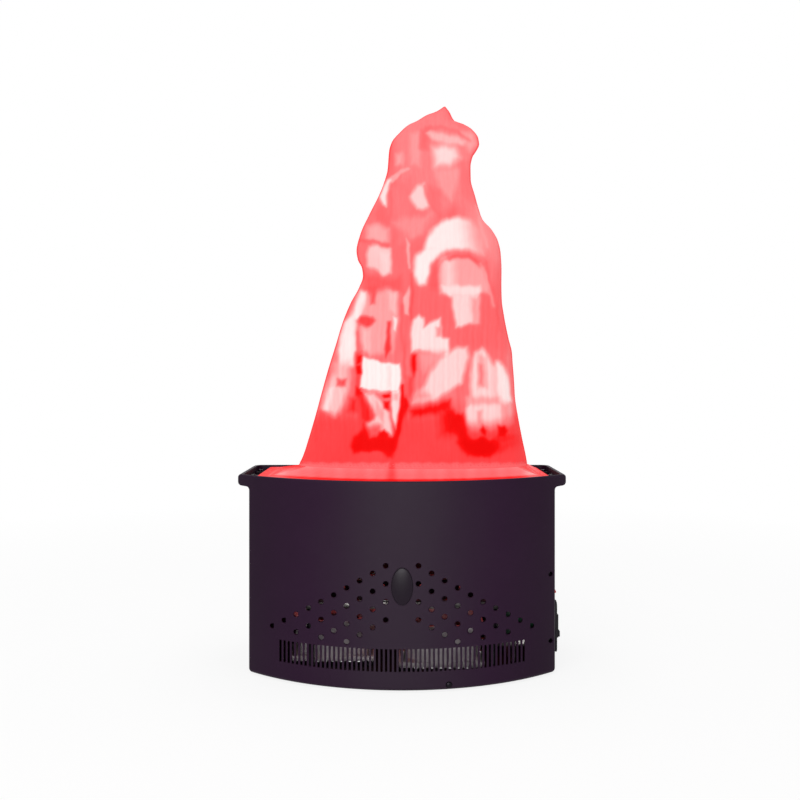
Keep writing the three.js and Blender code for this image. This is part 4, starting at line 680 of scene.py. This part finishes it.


# Soft areas of painted light and shade, laid over each other in this order: glow, softness, then each
# corner's column and row.
# A glow of 0 is full red, 0.5 the silk's own pink and 1 nearly white.
AREAS = [
    (0.27, 16, 280, 410, 540, 410, 540, 490, 280, 490),
    (0.42, 9, 403, 285, 505, 285, 516, 350, 403, 350),
    (0.53, 6, 392, 125, 440, 110, 452, 122, 474, 134, 470, 170, 470, 200, 430, 215, 400, 200, 396, 160),
    (0.62, 4, 411, 134, 420, 132, 420, 166, 411, 164),
    (0.66, 4, 462, 132, 474, 134, 477, 144, 470, 152, 464, 142),
    (0.63, 4, 434, 170, 462, 168, 452, 200, 440, 190),
    (0.49, 4, 460, 160, 467, 162, 474, 208, 463, 200),
    (0.43, 4, 421, 130, 430, 128, 428, 150, 420, 148),
    (0.5, 5, 388, 190, 412, 176, 412, 206, 404, 220, 388, 214),
    (0.46, 5, 428, 186, 440, 190, 440, 212, 430, 206),
    (0.58, 6, 390, 222, 404, 218, 432, 214, 424, 234, 412, 244, 404, 232),
    (0.45, 4.5, 392, 248, 424, 236, 413, 252, 412, 290, 391, 284),
    (0.42, 3.5, 379, 204, 385, 207, 387, 222, 376, 222, 374, 214),
    (0.73, 2.6, 426, 133, 431, 131, 445, 134, 459, 137, 466, 141, 464, 145, 452, 144, 440, 142, 430, 138),
    (0.87, 6, 433, 148, 446, 145, 455, 148, 459, 157, 451, 165, 435, 166),
    (0.83, 3, 413, 203, 410, 196, 417, 186, 424, 183, 427, 198, 430, 206, 424, 209, 417, 209),
    (0.68, 1.6, 387, 181, 392, 175.5, 400, 170.5, 409, 167, 410, 168.5, 401, 174.5, 392, 183),
    (0.92, 2.4, 387, 180, 391, 180, 388.5, 187, 387, 195, 386.5, 207, 383, 204, 380, 196, 382.5, 188),
    (0.68, 4, 396, 154, 402, 154, 402, 164, 396, 164),
    (0.7, 5, 368, 226, 380, 224, 389, 230, 388, 242, 378, 243, 366, 238),
    (0.8, 3, 369, 246, 378, 245, 391, 249, 390, 273, 384, 276, 376, 270, 367, 266, 367, 255),
    (0.86, 5, 380, 252, 390, 254, 390, 272, 384, 274),
    (0.37, 4, 363, 272, 390, 280, 402, 276, 402, 292, 364, 292),
    (0.7, 1.8, 406, 238, 410, 244, 410, 268, 408, 268),
    (0.97, 4, 414, 264, 416, 256, 424, 249, 427, 238, 435, 227, 447, 219, 460, 217, 472, 221, 482, 230, 486,
     242, 484, 255, 466, 249, 448, 250, 438, 256, 431, 264, 430, 274, 426, 284, 419, 285, 414, 276),
    (0.58, 17, 468, 204, 502, 212, 502, 262, 478, 256, 470, 240),
    (0.38, 4, 431, 267, 437, 260, 442, 262, 441, 292, 430, 290),
    (0.68, 4, 439, 264, 446, 257, 460, 255, 473, 258, 483, 268, 489, 284, 489, 293, 440, 293),
    (0.84, 7.5, 443, 260, 453, 257, 456, 292, 443, 292),
    (0.9, 3, 442, 286, 480, 286, 481, 292, 474, 297, 450, 296, 443, 292),
    (0.86, 3, 451, 294, 479, 294, 478, 322, 466, 325, 456, 328, 453, 310),
    (0.66, 4.5, 471, 298, 480, 297, 479, 323, 473, 323),
    (0.96, 3.6, 360, 291, 366, 292, 368, 304, 362, 318, 356, 320, 356, 345, 355, 366, 340, 368, 338, 350,
     341, 333, 344, 322, 350, 316, 354, 309, 356, 300),
    (0.76, 6, 336, 364, 350, 362, 348, 386, 332, 386),
    (0.78, 4.4, 329, 382, 333, 375, 342, 380, 347, 384, 348, 391, 344, 400, 340, 411, 335, 417, 331, 413,
     326, 411, 321, 408, 323, 400),
    (0.9, 3, 330, 388, 334, 388, 328, 410, 323, 410),
    (0.34, 2.6, 337, 379, 346, 379, 346, 386, 337, 386),
    (0.66, 4.5, 368, 296, 386, 288, 397, 292, 399, 318, 392, 352, 370, 356, 360, 340, 359, 322),
    (0.74, 3, 363, 330, 370, 330, 370, 352, 363, 350),
    (0.76, 3, 388, 292, 397, 292, 396, 314, 390, 310),
    (0.33, 2.6, 370, 287, 376, 287, 375, 304, 371, 304),
    (0.27, 2.6, 357.5, 321, 360, 317, 366, 315.5, 372, 317, 375, 321, 372, 325, 366, 327, 360, 325),
    (0.22, 2.2, 387, 322, 390.5, 322, 390.5, 350, 386, 358, 384, 349, 387, 336),
    (0.9, 1.5, 393, 316, 397, 318, 396, 331, 394, 329),
    (0.72, 1.8, 403, 298, 410, 285, 409, 315, 405, 314),
    (0.42, 2.6, 411, 284, 418, 288, 414, 310, 411, 318),
    (0.3, 3, 355, 352, 361, 352, 362, 366, 361, 392, 354, 398),
    (0.98, 1.9, 363, 357, 372, 359, 385, 363, 400, 364, 401, 378, 399, 391, 380, 391, 366, 389, 360, 388,
     362, 370),
    (0.16, 4.5, 350, 399, 358, 396, 358, 412, 348, 412),
    (0.9, 2.2, 387, 366, 391, 366, 391, 388, 387, 388),
    (0.87, 1.8, 392, 391, 400, 390, 399, 412, 396, 429, 393, 420, 391, 405),
    (0.72, 2.4, 392, 393, 399, 393, 398, 400, 392, 400),
    (0.05, 2.4, 358, 356, 362, 356, 361, 363, 357, 363),
    (0, 2.4, 357, 366, 361, 366, 361, 374, 357, 373),
    (0.08, 2.4, 356, 386, 360, 389, 366, 391, 362, 397, 356, 395),
    (0.8, 2.8, 364, 393, 374, 394, 384, 404, 390, 414, 393, 437, 386, 433, 376, 436, 369, 430, 364, 421,
     374, 420, 376, 415, 370, 404),
    (0.66, 3, 376, 402, 384, 412, 384, 422, 376, 414),
    (0.34, 5, 364, 426, 380, 425, 382, 434, 382, 444, 364, 444),
    (0.05, 2.2, 379, 432, 384, 429.5, 388, 434, 387, 439, 378, 438),
    (0.14, 3.6, 357, 393, 363, 396, 371, 411, 371, 420, 363, 425, 359, 406),
    (0.02, 1.7, 382, 394, 391, 393, 390, 398, 384, 398),
    (0.08, 2, 383, 401, 389, 402, 389, 411, 384, 408),
    (0.9, 2.8, 411, 327, 413, 320, 419, 315, 424, 318, 424, 327, 434, 320, 440, 318, 441, 332, 443, 338,
     449, 338, 449, 356, 440, 356, 430, 353, 420, 350, 411, 352),
    (0.6, 2.5, 436, 327, 442, 327, 442, 337, 437, 336),
    (0.62, 6, 418, 352, 446, 352, 440, 362, 424, 372),
    (0.85, 3.8, 467, 347, 469, 358, 463, 376, 462, 383, 452, 389, 440, 397, 434, 400.5, 420, 401.5, 412,
     403, 416, 396, 425, 385, 430, 372, 440, 360, 452, 350, 458, 347),
    (0.6, 6, 411, 390, 424, 391, 430, 397, 418, 401, 411, 402),
    (0.06, 4.5, 410, 410, 424, 407, 436, 404.5, 450, 399, 451, 409, 440, 413, 424, 415, 413, 417),
    (0.84, 3.6, 470, 376, 474, 352, 482, 348, 488, 354, 494, 366, 496, 361, 501, 361, 506, 370, 509, 382,
     510.5, 400, 513, 423, 511, 431, 507, 431, 505, 426, 499, 426, 497, 437, 488, 437, 486, 428, 482, 426,
     484, 434, 481, 439, 476, 440, 469, 438, 468, 430, 466, 420, 465.5, 408, 471, 400),
    (0.7, 3.4, 478, 354, 486, 358, 488, 388, 478, 388),
    (0.5, 3.4, 479, 364, 483, 366, 483, 386, 479, 384),
    (0.78, 3.6, 491, 366, 496, 368, 497, 396, 492, 394),
    (0.94, 3, 498, 366, 502, 366, 509, 384, 511, 402, 500, 398),
    (0.66, 4, 466, 397, 500, 397, 500, 404.5, 466, 404.5),
    (0.84, 4, 484, 406, 500, 406, 497, 419, 485, 419),
    (0.64, 3, 477, 411, 482, 411, 482, 424, 478, 424),
    (0.62, 4.5, 501, 404, 510, 404, 512, 420, 503, 424),
    (0.25, 10, 458, 427, 490, 426, 522, 419, 522, 450, 458, 450),
    (0.05, 2.2, 480, 430, 483, 427.5, 486, 431, 485, 435, 482, 434),
    (0.02, 2.8, 498, 427, 504, 426, 507, 431, 505, 436, 499, 436),
    (0, 4.2, 352, 447, 354, 437, 362, 431, 364, 426, 370, 438, 383, 437, 391, 440, 396, 430, 400, 414,
     402, 402, 403, 397, 407, 397, 409, 406, 405, 414, 402, 420, 398.5, 434, 396, 447, 391, 457, 388, 457,
     381, 449, 354, 452),
    (0, 3, 358, 440, 396, 440, 394, 450, 362, 450),
    (0.06, 2.8, 412, 355, 416.5, 355, 416.5, 370, 413, 377, 411, 365),
    (0.29, 3.6, 407, 376, 414, 376, 414.5, 391, 411, 399, 405, 397),
    (0.14, 7, 438, 412, 452, 412, 458, 436, 440, 436),
    (0, 4, 446, 410, 452, 411, 456, 415, 463, 414, 465, 424, 467, 440, 461, 438, 453, 431, 447, 430),
    (0, 5, 462, 434, 468, 438, 476, 444, 484, 438, 490, 443, 498, 438, 506, 437, 514, 437, 516, 441, 500,
     450, 488, 456, 468, 455, 458, 443),
    (0, 3.6, 468, 443, 480, 438, 487, 441, 496, 442, 494, 450, 484, 456, 472, 452),
    (0.2, 7, 496, 439, 520, 434, 524, 444, 500, 451),
    (0.45, 2.2, 290, 463, 389, 463, 389, 472, 290, 472),
    (0.43, 2.2, 395, 463, 536, 463, 536, 472, 395, 472),
]
# Thin lines of painted light and shade: glow, strength, half-width, then each point's column and row
LINES = [
    (0.34, 0.55, 1.9, 402, 306, 401, 330, 404, 352, 404, 378),
    (0.02, 0.9, 1.5, 402.8, 386, 402.4, 400, 401.4, 412, 399, 428, 395.5, 440),
    (0.3, 0.6, 1.8, 411.5, 274, 412.5, 296, 410.5, 318),
    (0.38, 1, 2.7, 450, 257.5, 454, 256.5, 460, 255.6, 468, 256, 475, 259.5, 481, 265),
    (0.5, 0.6, 1.6, 438, 266, 444, 259.5, 450, 257.5),
    (0.38, 0.5, 1.8, 391, 192, 391.5, 204, 389, 224),
    (0.4, 0.5, 2, 424, 186, 430, 204, 440, 216),
    (0.43, 0.6, 2, 426, 128, 440, 127, 458, 132, 470, 141),
    (0.36, 0.5, 1.6, 486, 262, 490, 282, 496, 304, 500, 330),
    (0.68, 0.6, 2.2, 477, 205, 480, 222, 487, 246),
    (0.66, 0.6, 2, 480, 264, 486, 276, 490, 292, 494, 306),
    (0.34, 0.6, 1.8, 360, 241, 372, 241, 388, 246),
    (0.34, 0.55, 1.6, 358, 332, 357.5, 352),
    (0.72, 0.5, 1.3, 362, 391, 376, 392, 390, 394),
]


# Rows between which the threads' streaks grow and fade, and where the painted shade along the outline's edges
# is deepest and reddest
STREAKS_BEGIN, STREAKS_GROW, STREAKS_END, STREAKS_FADE = 240, 120, 446, 36
EDGE_SHADE_ROW, EDGE_SHADE_REACH, EDGE_SHADE_WIDTH = 352, 58, 1.4
# Where the skirt has more painted light, as column, half-width and gain, its column of painted shade, and
# where its ends begin
SKIRT_BRIGHT = ((277, 16, 0.24), (535, 13, 0.3))
SKIRT_SHADE, SKIRT_SHADE_HALF = 392, 5
SKIRT_ENDS, SKIRT_END_FADE = (283, 524), 6
# Heights above the frame: up to where the hem has painted shade, the fold above it, along which shade is
# painted, and that fold's half-width
HEM_SHADE_TOP, HEM_FOLD, HEM_FOLD_HALF = 1.1, 1.9, 0.75


def paired(numbers):
    return list(zip(numbers[::2], numbers[1::2]))


def paint(cloth, glow):
    layer = cloth.data.attributes.new("glow", "FLOAT", "POINT")
    layer.data.foreach_set("value", np.clip(glow, 0, 1).astype(np.float32))


def paint_flame(flame, verts, edge):
    """How brightly each point of the cloth glows, in painted light and shade. edge is its distance from the
    outline seen in front.
    """
    x, y, z = verts[:, 0], verts[:, 1], verts[:, 2]
    back = y > FLAME_Y
    # the back has the front's painted light and shade, bent by slow waves
    px, py = seen_at(x, np.where(back, 2 * FLAME_Y - y, y), z)
    py = np.where(back, py + 5 * np.sin(px * 0.11), py)
    px = np.where(back, px + 4 * np.sin(py * 0.06), px)
    # the strokes' edges waver by less than a pixel
    px = px + 0.3 * np.sin(py * 0.23) + 0.2 * np.sin(py * 0.51 + px * 0.2)
    py = py + 0.5 * np.sin(px * 0.47 + 1) + 0.15 * np.sin(px * 1.1)
    glow = 0.47 + 0.02 * np.sin(px * 0.21 + 0.02 * py) + 0.015 * np.sin(px * 0.47 + 0.05 * py + 1.7)
    for value, soft, *corners in AREAS:
        glow += (value - glow) * filled(px, py, paired(corners), soft)
    for value, strength, half, *points in LINES:
        glow += (value - glow) * strength * bell(near_line(px, py, paired(points)), half)
    share = np.clip((py - STREAKS_BEGIN) / STREAKS_GROW, 0.3, 1)
    share *= np.clip((STREAKS_END - py) / STREAKS_FADE, 0.15, 1)
    streak = np.sin(px * 0.83 + 2.1 * np.sin(py * 0.021)) + np.sin(px * 1.31 + 1.7 * np.sin(py * 0.033 + 2))
    # painted shade: the glow drops along the outline seen in front, most of all around one row
    red = 0.24 + 0.22 * np.clip(1 - ((py - EDGE_SHADE_ROW) / EDGE_SHADE_REACH) ** 2, 0, 1)
    glow += 0.012 * share * streak - red * bell(edge, EDGE_SHADE_WIDTH)
    paint(flame, glow)


def paint_skirt(skirt):
    """Painted light and shade: brighter up the slope and at both ends, painted shade along the hem's fold and
    on the hem, and dimmer behind.
    """
    points = all_values(skirt.data.vertices, "co", 3).astype(float) / MM
    px = seen_at(*points.T)[0]
    front = points[:, 1] < FLAME_Y
    up = points[:, 2] - SKIRT_LOW
    glow = 0.43 + 0.08 * np.clip((up - 1) / 9, 0, 1) ** 2
    glow += 0.02 * np.sin(px * 0.19) + 0.015 * np.sin(px * 0.43)
    for column, half, gain in SKIRT_BRIGHT:
        glow += gain * bell(px - column, half)
    glow -= 0.14 * bell(px - SKIRT_SHADE, SKIRT_SHADE_HALF) * front
    ends = np.clip(np.maximum(px - SKIRT_ENDS[1], SKIRT_ENDS[0] - px) / SKIRT_END_FADE, 0, 1)
    # painted shade: the skirt behind is dimmer, except towards its ends
    glow = np.where(front, glow, (0.3 + 0.7 * ends) * glow)
    # painted shade along the hem's fold, and on the hem below it
    glow -= 0.38 * bell(up - HEM_FOLD, HEM_FOLD_HALF) * front
    paint(skirt, np.where(up < HEM_SHADE_TOP, 0.2, glow))


# Colours of the silk from a glow of 0 to 1
SILK_COLORS = (
    (0.0, rgb(241, 0, 0)), (0.1, rgb(250, 6, 8)), (0.16, rgb(254, 34, 36)), (0.3, rgb(254, 72, 75)),
    (0.5, rgb(254, 118, 121)), (0.7, rgb(254, 166, 166)), (0.85, rgb(254, 208, 207)),
    (1.0, rgb(254, 238, 236)),
)


def silk_material():
    s = Shader("silk_glow", Roughness=0.62, Specular_IOR_Level=0.05, Sheen_Weight=0.04, Emission_Strength=0.7)
    glow = s.add("ShaderNodeAttribute", attribute_name="glow").outputs["Fac"]
    drift = s.spread(s.noise(24.0, 5.0, 0.6), 0, 0.08)
    slub = s.spread(s.noise(700.0, 3.0, 0.6, at=s.drawn_out(0.05)), 0, 0.05)
    color = s.ramp(s.math("ADD", s.math("ADD", glow, drift), slub), *SILK_COLORS)
    s.feed("Base Color", s.mix(0.72, color, (0, 0, 0, 1)))
    # painted light: the cloth glows by emission, which stands in for the lamps' light shining through it
    s.feed("Emission Color", color)
    s.bump(s.math("ADD", s.math("MULTIPLY", slub, 6.0), s.noise(90.0, 4.0)), 0.25, 0.0003)
    return s.material


silk_glow = silk_material()
silk_thread = moulded(
    "silk_thread", rgb(226, 70, 76), rgb(244, 96, 100), 0.6, grain=2500.0, depth=0.0001, cloud=300.0
)

# Stitches: length, gap, the thread's radius, and how far its middle stands out and its ends sink in
STITCH, STITCH_GAP, THREAD_R, STITCH_OUT, STITCH_SINK = 2.3, 1.5, 0.26, 0.1, 0.18
# Thickness along a stitch, and the levels of the foot's two rows above the flame's base
STITCH_SHAPE = ((0, 0.35), (0.2, 1), (0.8, 1), (1, 0.35))
FOOT_STITCHES = (1.7, 3.5)


def stitches(name, ring):
    """Thread along a closed line: short rounded stitches that stand half out of the cloth."""
    ring = np.vstack([ring, ring[:1]])
    along = np.concatenate([[0], np.cumsum(np.linalg.norm(np.diff(ring, axis=0), axis=1))])
    count, sides = int(along[-1] / (STITCH + STITCH_GAP)), 6
    verts, faces = [], []
    for i in range(count):
        place = i * along[-1] / count
        begin, end = (
            np.array([np.interp(at % along[-1], along, ring[:, k]) for k in range(3)])
            for at in (place, place + STITCH)
        )
        middle, line = (begin + end) / 2, end - begin
        line = line / np.linalg.norm(line)
        away = middle - np.array([FLAME_X, FLAME_Y, middle[2]])
        away -= line * away.dot(line)
        away /= np.linalg.norm(away)
        side = np.cross(line, away)
        start = len(verts)
        for share, fat in STITCH_SHAPE:
            centre = begin + (end - begin) * share + away * (STITCH_OUT - STITCH_SINK * (1 - fat))
            for a in turns(sides):
                verts.append(tuple(centre + fat * THREAD_R * (math.cos(a) * away + math.sin(a) * side)))
        last = len(verts) - sides
        faces += [tuple(reversed(range(start, start + sides))), tuple(range(last, last + sides))]
        for low in range(start, last, sides):
            faces += band(low, low + sides, sides)
    thread = mesh_object(name, verts, faces)
    smooth(thread, 50)
    dress(thread, silk_thread)
    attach(thread, "housing")
    return thread


def thicken(sheet):
    """Gives a sheet its thickness, inwards."""
    shell = sheet.modifiers.new("cloth", "SOLIDIFY")
    shell.thickness, shell.offset = CLOTH * MM, -1
    apply_modifiers(sheet)


def build_silk():
    flame, verts, edge, points = build_flame()
    paint_flame(flame, verts, edge)
    dress(flame, silk_glow)
    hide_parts("silk_flame")
    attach(flame, "housing")
    thicken(flame)
    rows = points[:, 0, 2]
    hem = [
        stitches(f"foot_stitches_{n}", points[np.argmin(abs(rows - FLAME_BASE - rise))])
        for n, rise in enumerate(FOOT_STITCHES)
    ]


# Slack of the skirt behind: its height, where it begins at the right, and its one place at the left
SLACK, SLACK_RIGHT, SLACK_FADE, SLACK_LEFT, SLACK_HALF = 3.9, 96, 20, -116, 11
BEHIND_FADE, SLOPE_RINGS = 45, 14


def build_skirt():
    """The sloping cloth between the frame and the flame's foot, with its hem down the frame's edge."""

    def flat(reach, z):
        outline = plan(FRAME_HALF + reach, FRAME_INSET - reach, z, bow_steps=150, corner_steps=10)
        return np.array([(x + FRAME_SHIFT, y, z) for x, y, _ in outline])

    held = flat(-FRAME_WIDTH, SKIRT_LOW)
    across, deep = held[:, 0], held[:, 1]
    angle = np.arctan2((deep - FLAME_Y) / FLAME_DEEP, (across - FLAME_X) / FLAME_HALF)
    hole_x = FLAME_X + (FLAME_HALF - SILK) * np.cos(angle)
    hole_y = FLAME_Y + FLAME_DEEP * np.sin(angle)
    hole = np.stack([hole_x, hole_y, np.full(len(angle), SKIRT_SEWN)], axis=1)
    top = SKIRT_LOW + SILK
    rings = [flat(HEM_OUT, SKIRT_LOW - HEM_DROP), flat(HEM_OUT, SKIRT_LOW + HEM_ROUND)]
    rings += [flat(reach, top) for reach in (HEM_ROUND, -HEM_ROUND, -FRAME_WIDTH)]
    # behind, the slack cloth stands up at the right end and in one place at the left
    behind = np.clip(deep / BEHIND_FADE, 0, 1)
    slack = np.clip((across - SLACK_RIGHT) / SLACK_FADE, 0, 1)
    slack = SLACK * behind * (slack + np.exp(-(((across - SLACK_LEFT) / SLACK_HALF) ** 4)))
    rings[-1][:, 2] += slack
    around = np.arange(len(held))
    # the slope swells a little all around and more behind, and has ripples
    swell = 1.4 + 4.8 * behind + 1.1 * np.sin(around * 1.1 + 2 * np.sin(around * 0.13))
    for share in np.arange(1, SLOPE_RINGS + 1) / SLOPE_RINGS:
        ring = held + (hole - held) * share
        ring[:, 2] = top + (SKIRT_SEWN - SKIRT_LOW) * np.interp(share, (0, 0.6, 1), (0, 0.4, 1))
        ring[:, 2] += slack * (1 - share) ** 2 + swell * share * (1 - share)
        rings.append(ring)
    skirt = lofted("skirt_cloth", [ring.tolist() for ring in rings], caps=False)
    smooth(skirt, 60)
    paint_skirt(skirt)
    dress(skirt, silk_glow)
    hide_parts("silk_skirt")
    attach(skirt, "housing")
    thicken(skirt)
    hem = stitches("skirt_stitches", flat(HEM_OUT, SKIRT_LOW - HEM_STITCHES))


# Lamps and small parts

# Levels of the lamps' dark sides and of their lit faces
LAMP_DARK, LAMP_LIT = 85.5, 89.0


def lamp_material():
    s = Shader("lit_lamps", Roughness=0.2)
    height = s.add("ShaderNodeSeparateXYZ", {0: s.coords()}).outputs["Z"]
    levels = {"Value": height, "From Min": LAMP_DARK * MM, "From Max": LAMP_LIT * MM}
    lit = s.add("ShaderNodeMapRange", levels).outputs["Result"]
    s.feed("Base Color", s.mix(lit, (*rgb(44, 30, 34), 1), (*rgb(176, 104, 112), 1)))
    s.feed("Emission Color", s.mix(lit, (0, 0, 0, 1), (*rgb(255, 120, 120), 1)))
    s.feed("Emission Strength", s.spread(s.noise(90.0), 0.1, 0.1))
    s.bump(s.noise(700.0), 0.2, 0.00003)
    return s.material


def rocker_material():
    s = Shader("rocker_red", Roughness=0.28, Specular_IOR_Level=0.5)
    s.feed("Base Color", s.ramp(s.noise(30.0), (0.35, rgb(168, 14, 12)), (0.65, rgb(204, 24, 18))))
    s.bump(s.noise(600.0), 0.15, 0.00002)
    return s.material


# How round the edges of the pieces are whose names begin like this
ROUNDING = {
    "foot": 0.5, "switch": 0.35, "inlet_body": 0.3, "inlet_pin": 0.25, "fuse_drawer": 0.35, "silk_frame": 0.5,
    "base_plate": 0.3, "fan": 0.25, "transformer_core": 0.4, "transformer_coil": 0.9, "lamp_board": 0.12,
    "lamp_rail": 0.2, "power_bracket": 0.2, "driver_board": 0.1, "smoothing": 0.6,
}
SCREW_ROUNDING = 0.15
BUILT_HERE = ("housing_shell", "badge_oval", "silk_flame", "silk_skirt")


def plain_pieces():
    """A smooth copy of every solid that isn't built here, in its own material."""
    board = moulded("driver_green", rgb(20, 62, 42), rgb(30, 82, 56), 0.42, grain=300.0, cloud=60.0)
    copper = metal("winding_copper", rgb(176, 104, 60), 0.36, streak=900.0)
    red, lamps = rocker_material(), lamp_material()
    sleeve = moulded("wire_sleeve", rgb(40, 34, 40), rgb(88, 76, 84), 0.6, grain=500.0, cloud=160.0)
    fuse_metal = metal("fuse_metal", rgb(200, 198, 196), 0.25)
    # the first of these that a name, without its left or right, begins with gives its material
    looks = {
        "fan_frame": fan_metal, "fan_rotor": rotor_plastic, "fan_screw": zinc, "lamp_board": lamps,
        "lamp_rail": zinc, "driver_board": board, "power_bracket": zinc, "transformer_core": laminations,
        "transformer_coil": copper, "transformer_screw": zinc, "switch_rocker": red, "inlet_pin": brass,
        "fuse_drawer": black_plastic, "fuse": fuse_metal, "silk_frame": frame_plastic, "foot_": rubber,
    }
    for name in [name for name in nodes if name not in BUILT_HERE]:
        kind = name.replace("_left", "").replace("_right", "")
        material = next((look for start, look in looks.items() if kind.startswith(start)), None)
        if not material:
            sleeved = name.endswith(("harness", "lead"))
            material = dark_screw if "screw" in name else sleeve if sleeved else black_plastic
        edge = next((radius for start, radius in ROUNDING.items() if kind.startswith(start)), 0)
        piece = smooth_copy(name, name + "_fine", 38, SCREW_ROUNDING if "screw" in name else edge)
        dress(piece, material)


plain_pieces()
build_housing()
build_badge()
build_silk()
build_skirt()

# Floor, light and background

FLOOR_HALF = 6000
FLOOR_NEAR, FLOOR_FAR = 0.2, 1.2  # metres


def floor_material():
    """Catches light and shadow, and is close to white where it is seen."""
    s = Shader("pale_floor", Roughness=0.9, Specular_IOR_Level=0.0)
    rays = s.add("ShaderNodeLightPath").outputs
    seen = s.math("MAXIMUM", rays["Is Camera Ray"], rays["Is Glossy Ray"])
    far = s.add("ShaderNodeVectorMath", {0: s.coords()}, operation="LENGTH").outputs["Value"]
    reach = {"Value": far, "From Min": FLOOR_NEAR, "From Max": FLOOR_FAR, "To Min": 0.84, "To Max": 1.0}
    fade = s.add("ShaderNodeMapRange", reach).outputs[0]
    s.feed("Base Color", s.ramp(s.noise(3.0), (0.3, rgb(246, 246, 246)), (0.7, rgb(251, 251, 251))))
    white = s.add("ShaderNodeEmission", {"Color": WHITE}).outputs[0]
    blend = {0: s.math("MULTIPLY", seen, fade), 1: s.shader.outputs[0], 2: white}
    s.show(s.add("ShaderNodeMixShader", blend).outputs[0], "Material Output")
    return s.material


corners = [(x * FLOOR_HALF, y * FLOOR_HALF, 0) for x, y in ((-1, -1), (1, -1), (1, 1), (-1, 1))]
floor = mesh_object("floor", corners, [(0, 1, 2, 3)])
dress(floor, floor_material())


def studio_world(strength=0.42):
    """White where it is seen, directly or by reflection, and softer as a light."""
    scene.world = bpy.data.worlds.new("studio")
    w = Nodes(scene.world)
    around = w.nodes["Background"]
    w.put(around.inputs["Color"], WHITE)
    w.put(around.inputs["Strength"], strength)
    behind = w.add("ShaderNodeBackground", {"Color": WHITE}).outputs[0]
    rays = w.add("ShaderNodeLightPath").outputs
    seen = w.math("MAXIMUM", rays["Is Camera Ray"], rays["Is Glossy Ray"])
    seen = w.math("MAXIMUM", seen, rays["Is Transmission Ray"])
    choose = w.add("ShaderNodeMixShader", {0: seen, 1: around.outputs[0], 2: behind})
    w.show(choose.outputs[0], "World Output")


def area_light(name, place, aim, size_x, size_y, power):
    data = bpy.data.lights.new(name, "AREA")
    data.shape, data.size, data.size_y, data.energy = "RECTANGLE", size_x, size_y, power
    made = bpy.data.objects.new(name, data)
    scene.collection.objects.link(made)
    made.location = place
    made.rotation_euler = (Vector(aim) - Vector(place)).to_track_quat("-Z", "Y").to_euler()


studio_world()
area_light("front", (-0.1, -2.2, 0.42), (0, 0, 0.12), 0.9, 0.5, 22)
area_light("key", (-0.6, -1.5, 1.5), (0, 0, 0.2), 1.2, 0.9, 10)
area_light("top", (0, 0.1, 1.9), (0, 0, 0.2), 1.4, 1.4, 12)

camera_data = bpy.data.cameras.new("camera")
camera_data.lens, camera_data.sensor_width, camera_data.shift_y = LENS, SENSOR, SHIFT_UP
camera_data.clip_start, camera_data.clip_end = 0.05, 50.0
camera = bpy.data.objects.new("camera", camera_data)
camera.location = (CAMERA_X * MM, CAMERA_Y * MM, CAMERA_Z * MM)
camera.rotation_euler = (math.radians(90), 0, 0)
scene.collection.objects.link(camera)
scene.camera = camera
scene.view_settings.view_transform = "Standard"

bpy.context.view_layer.update()
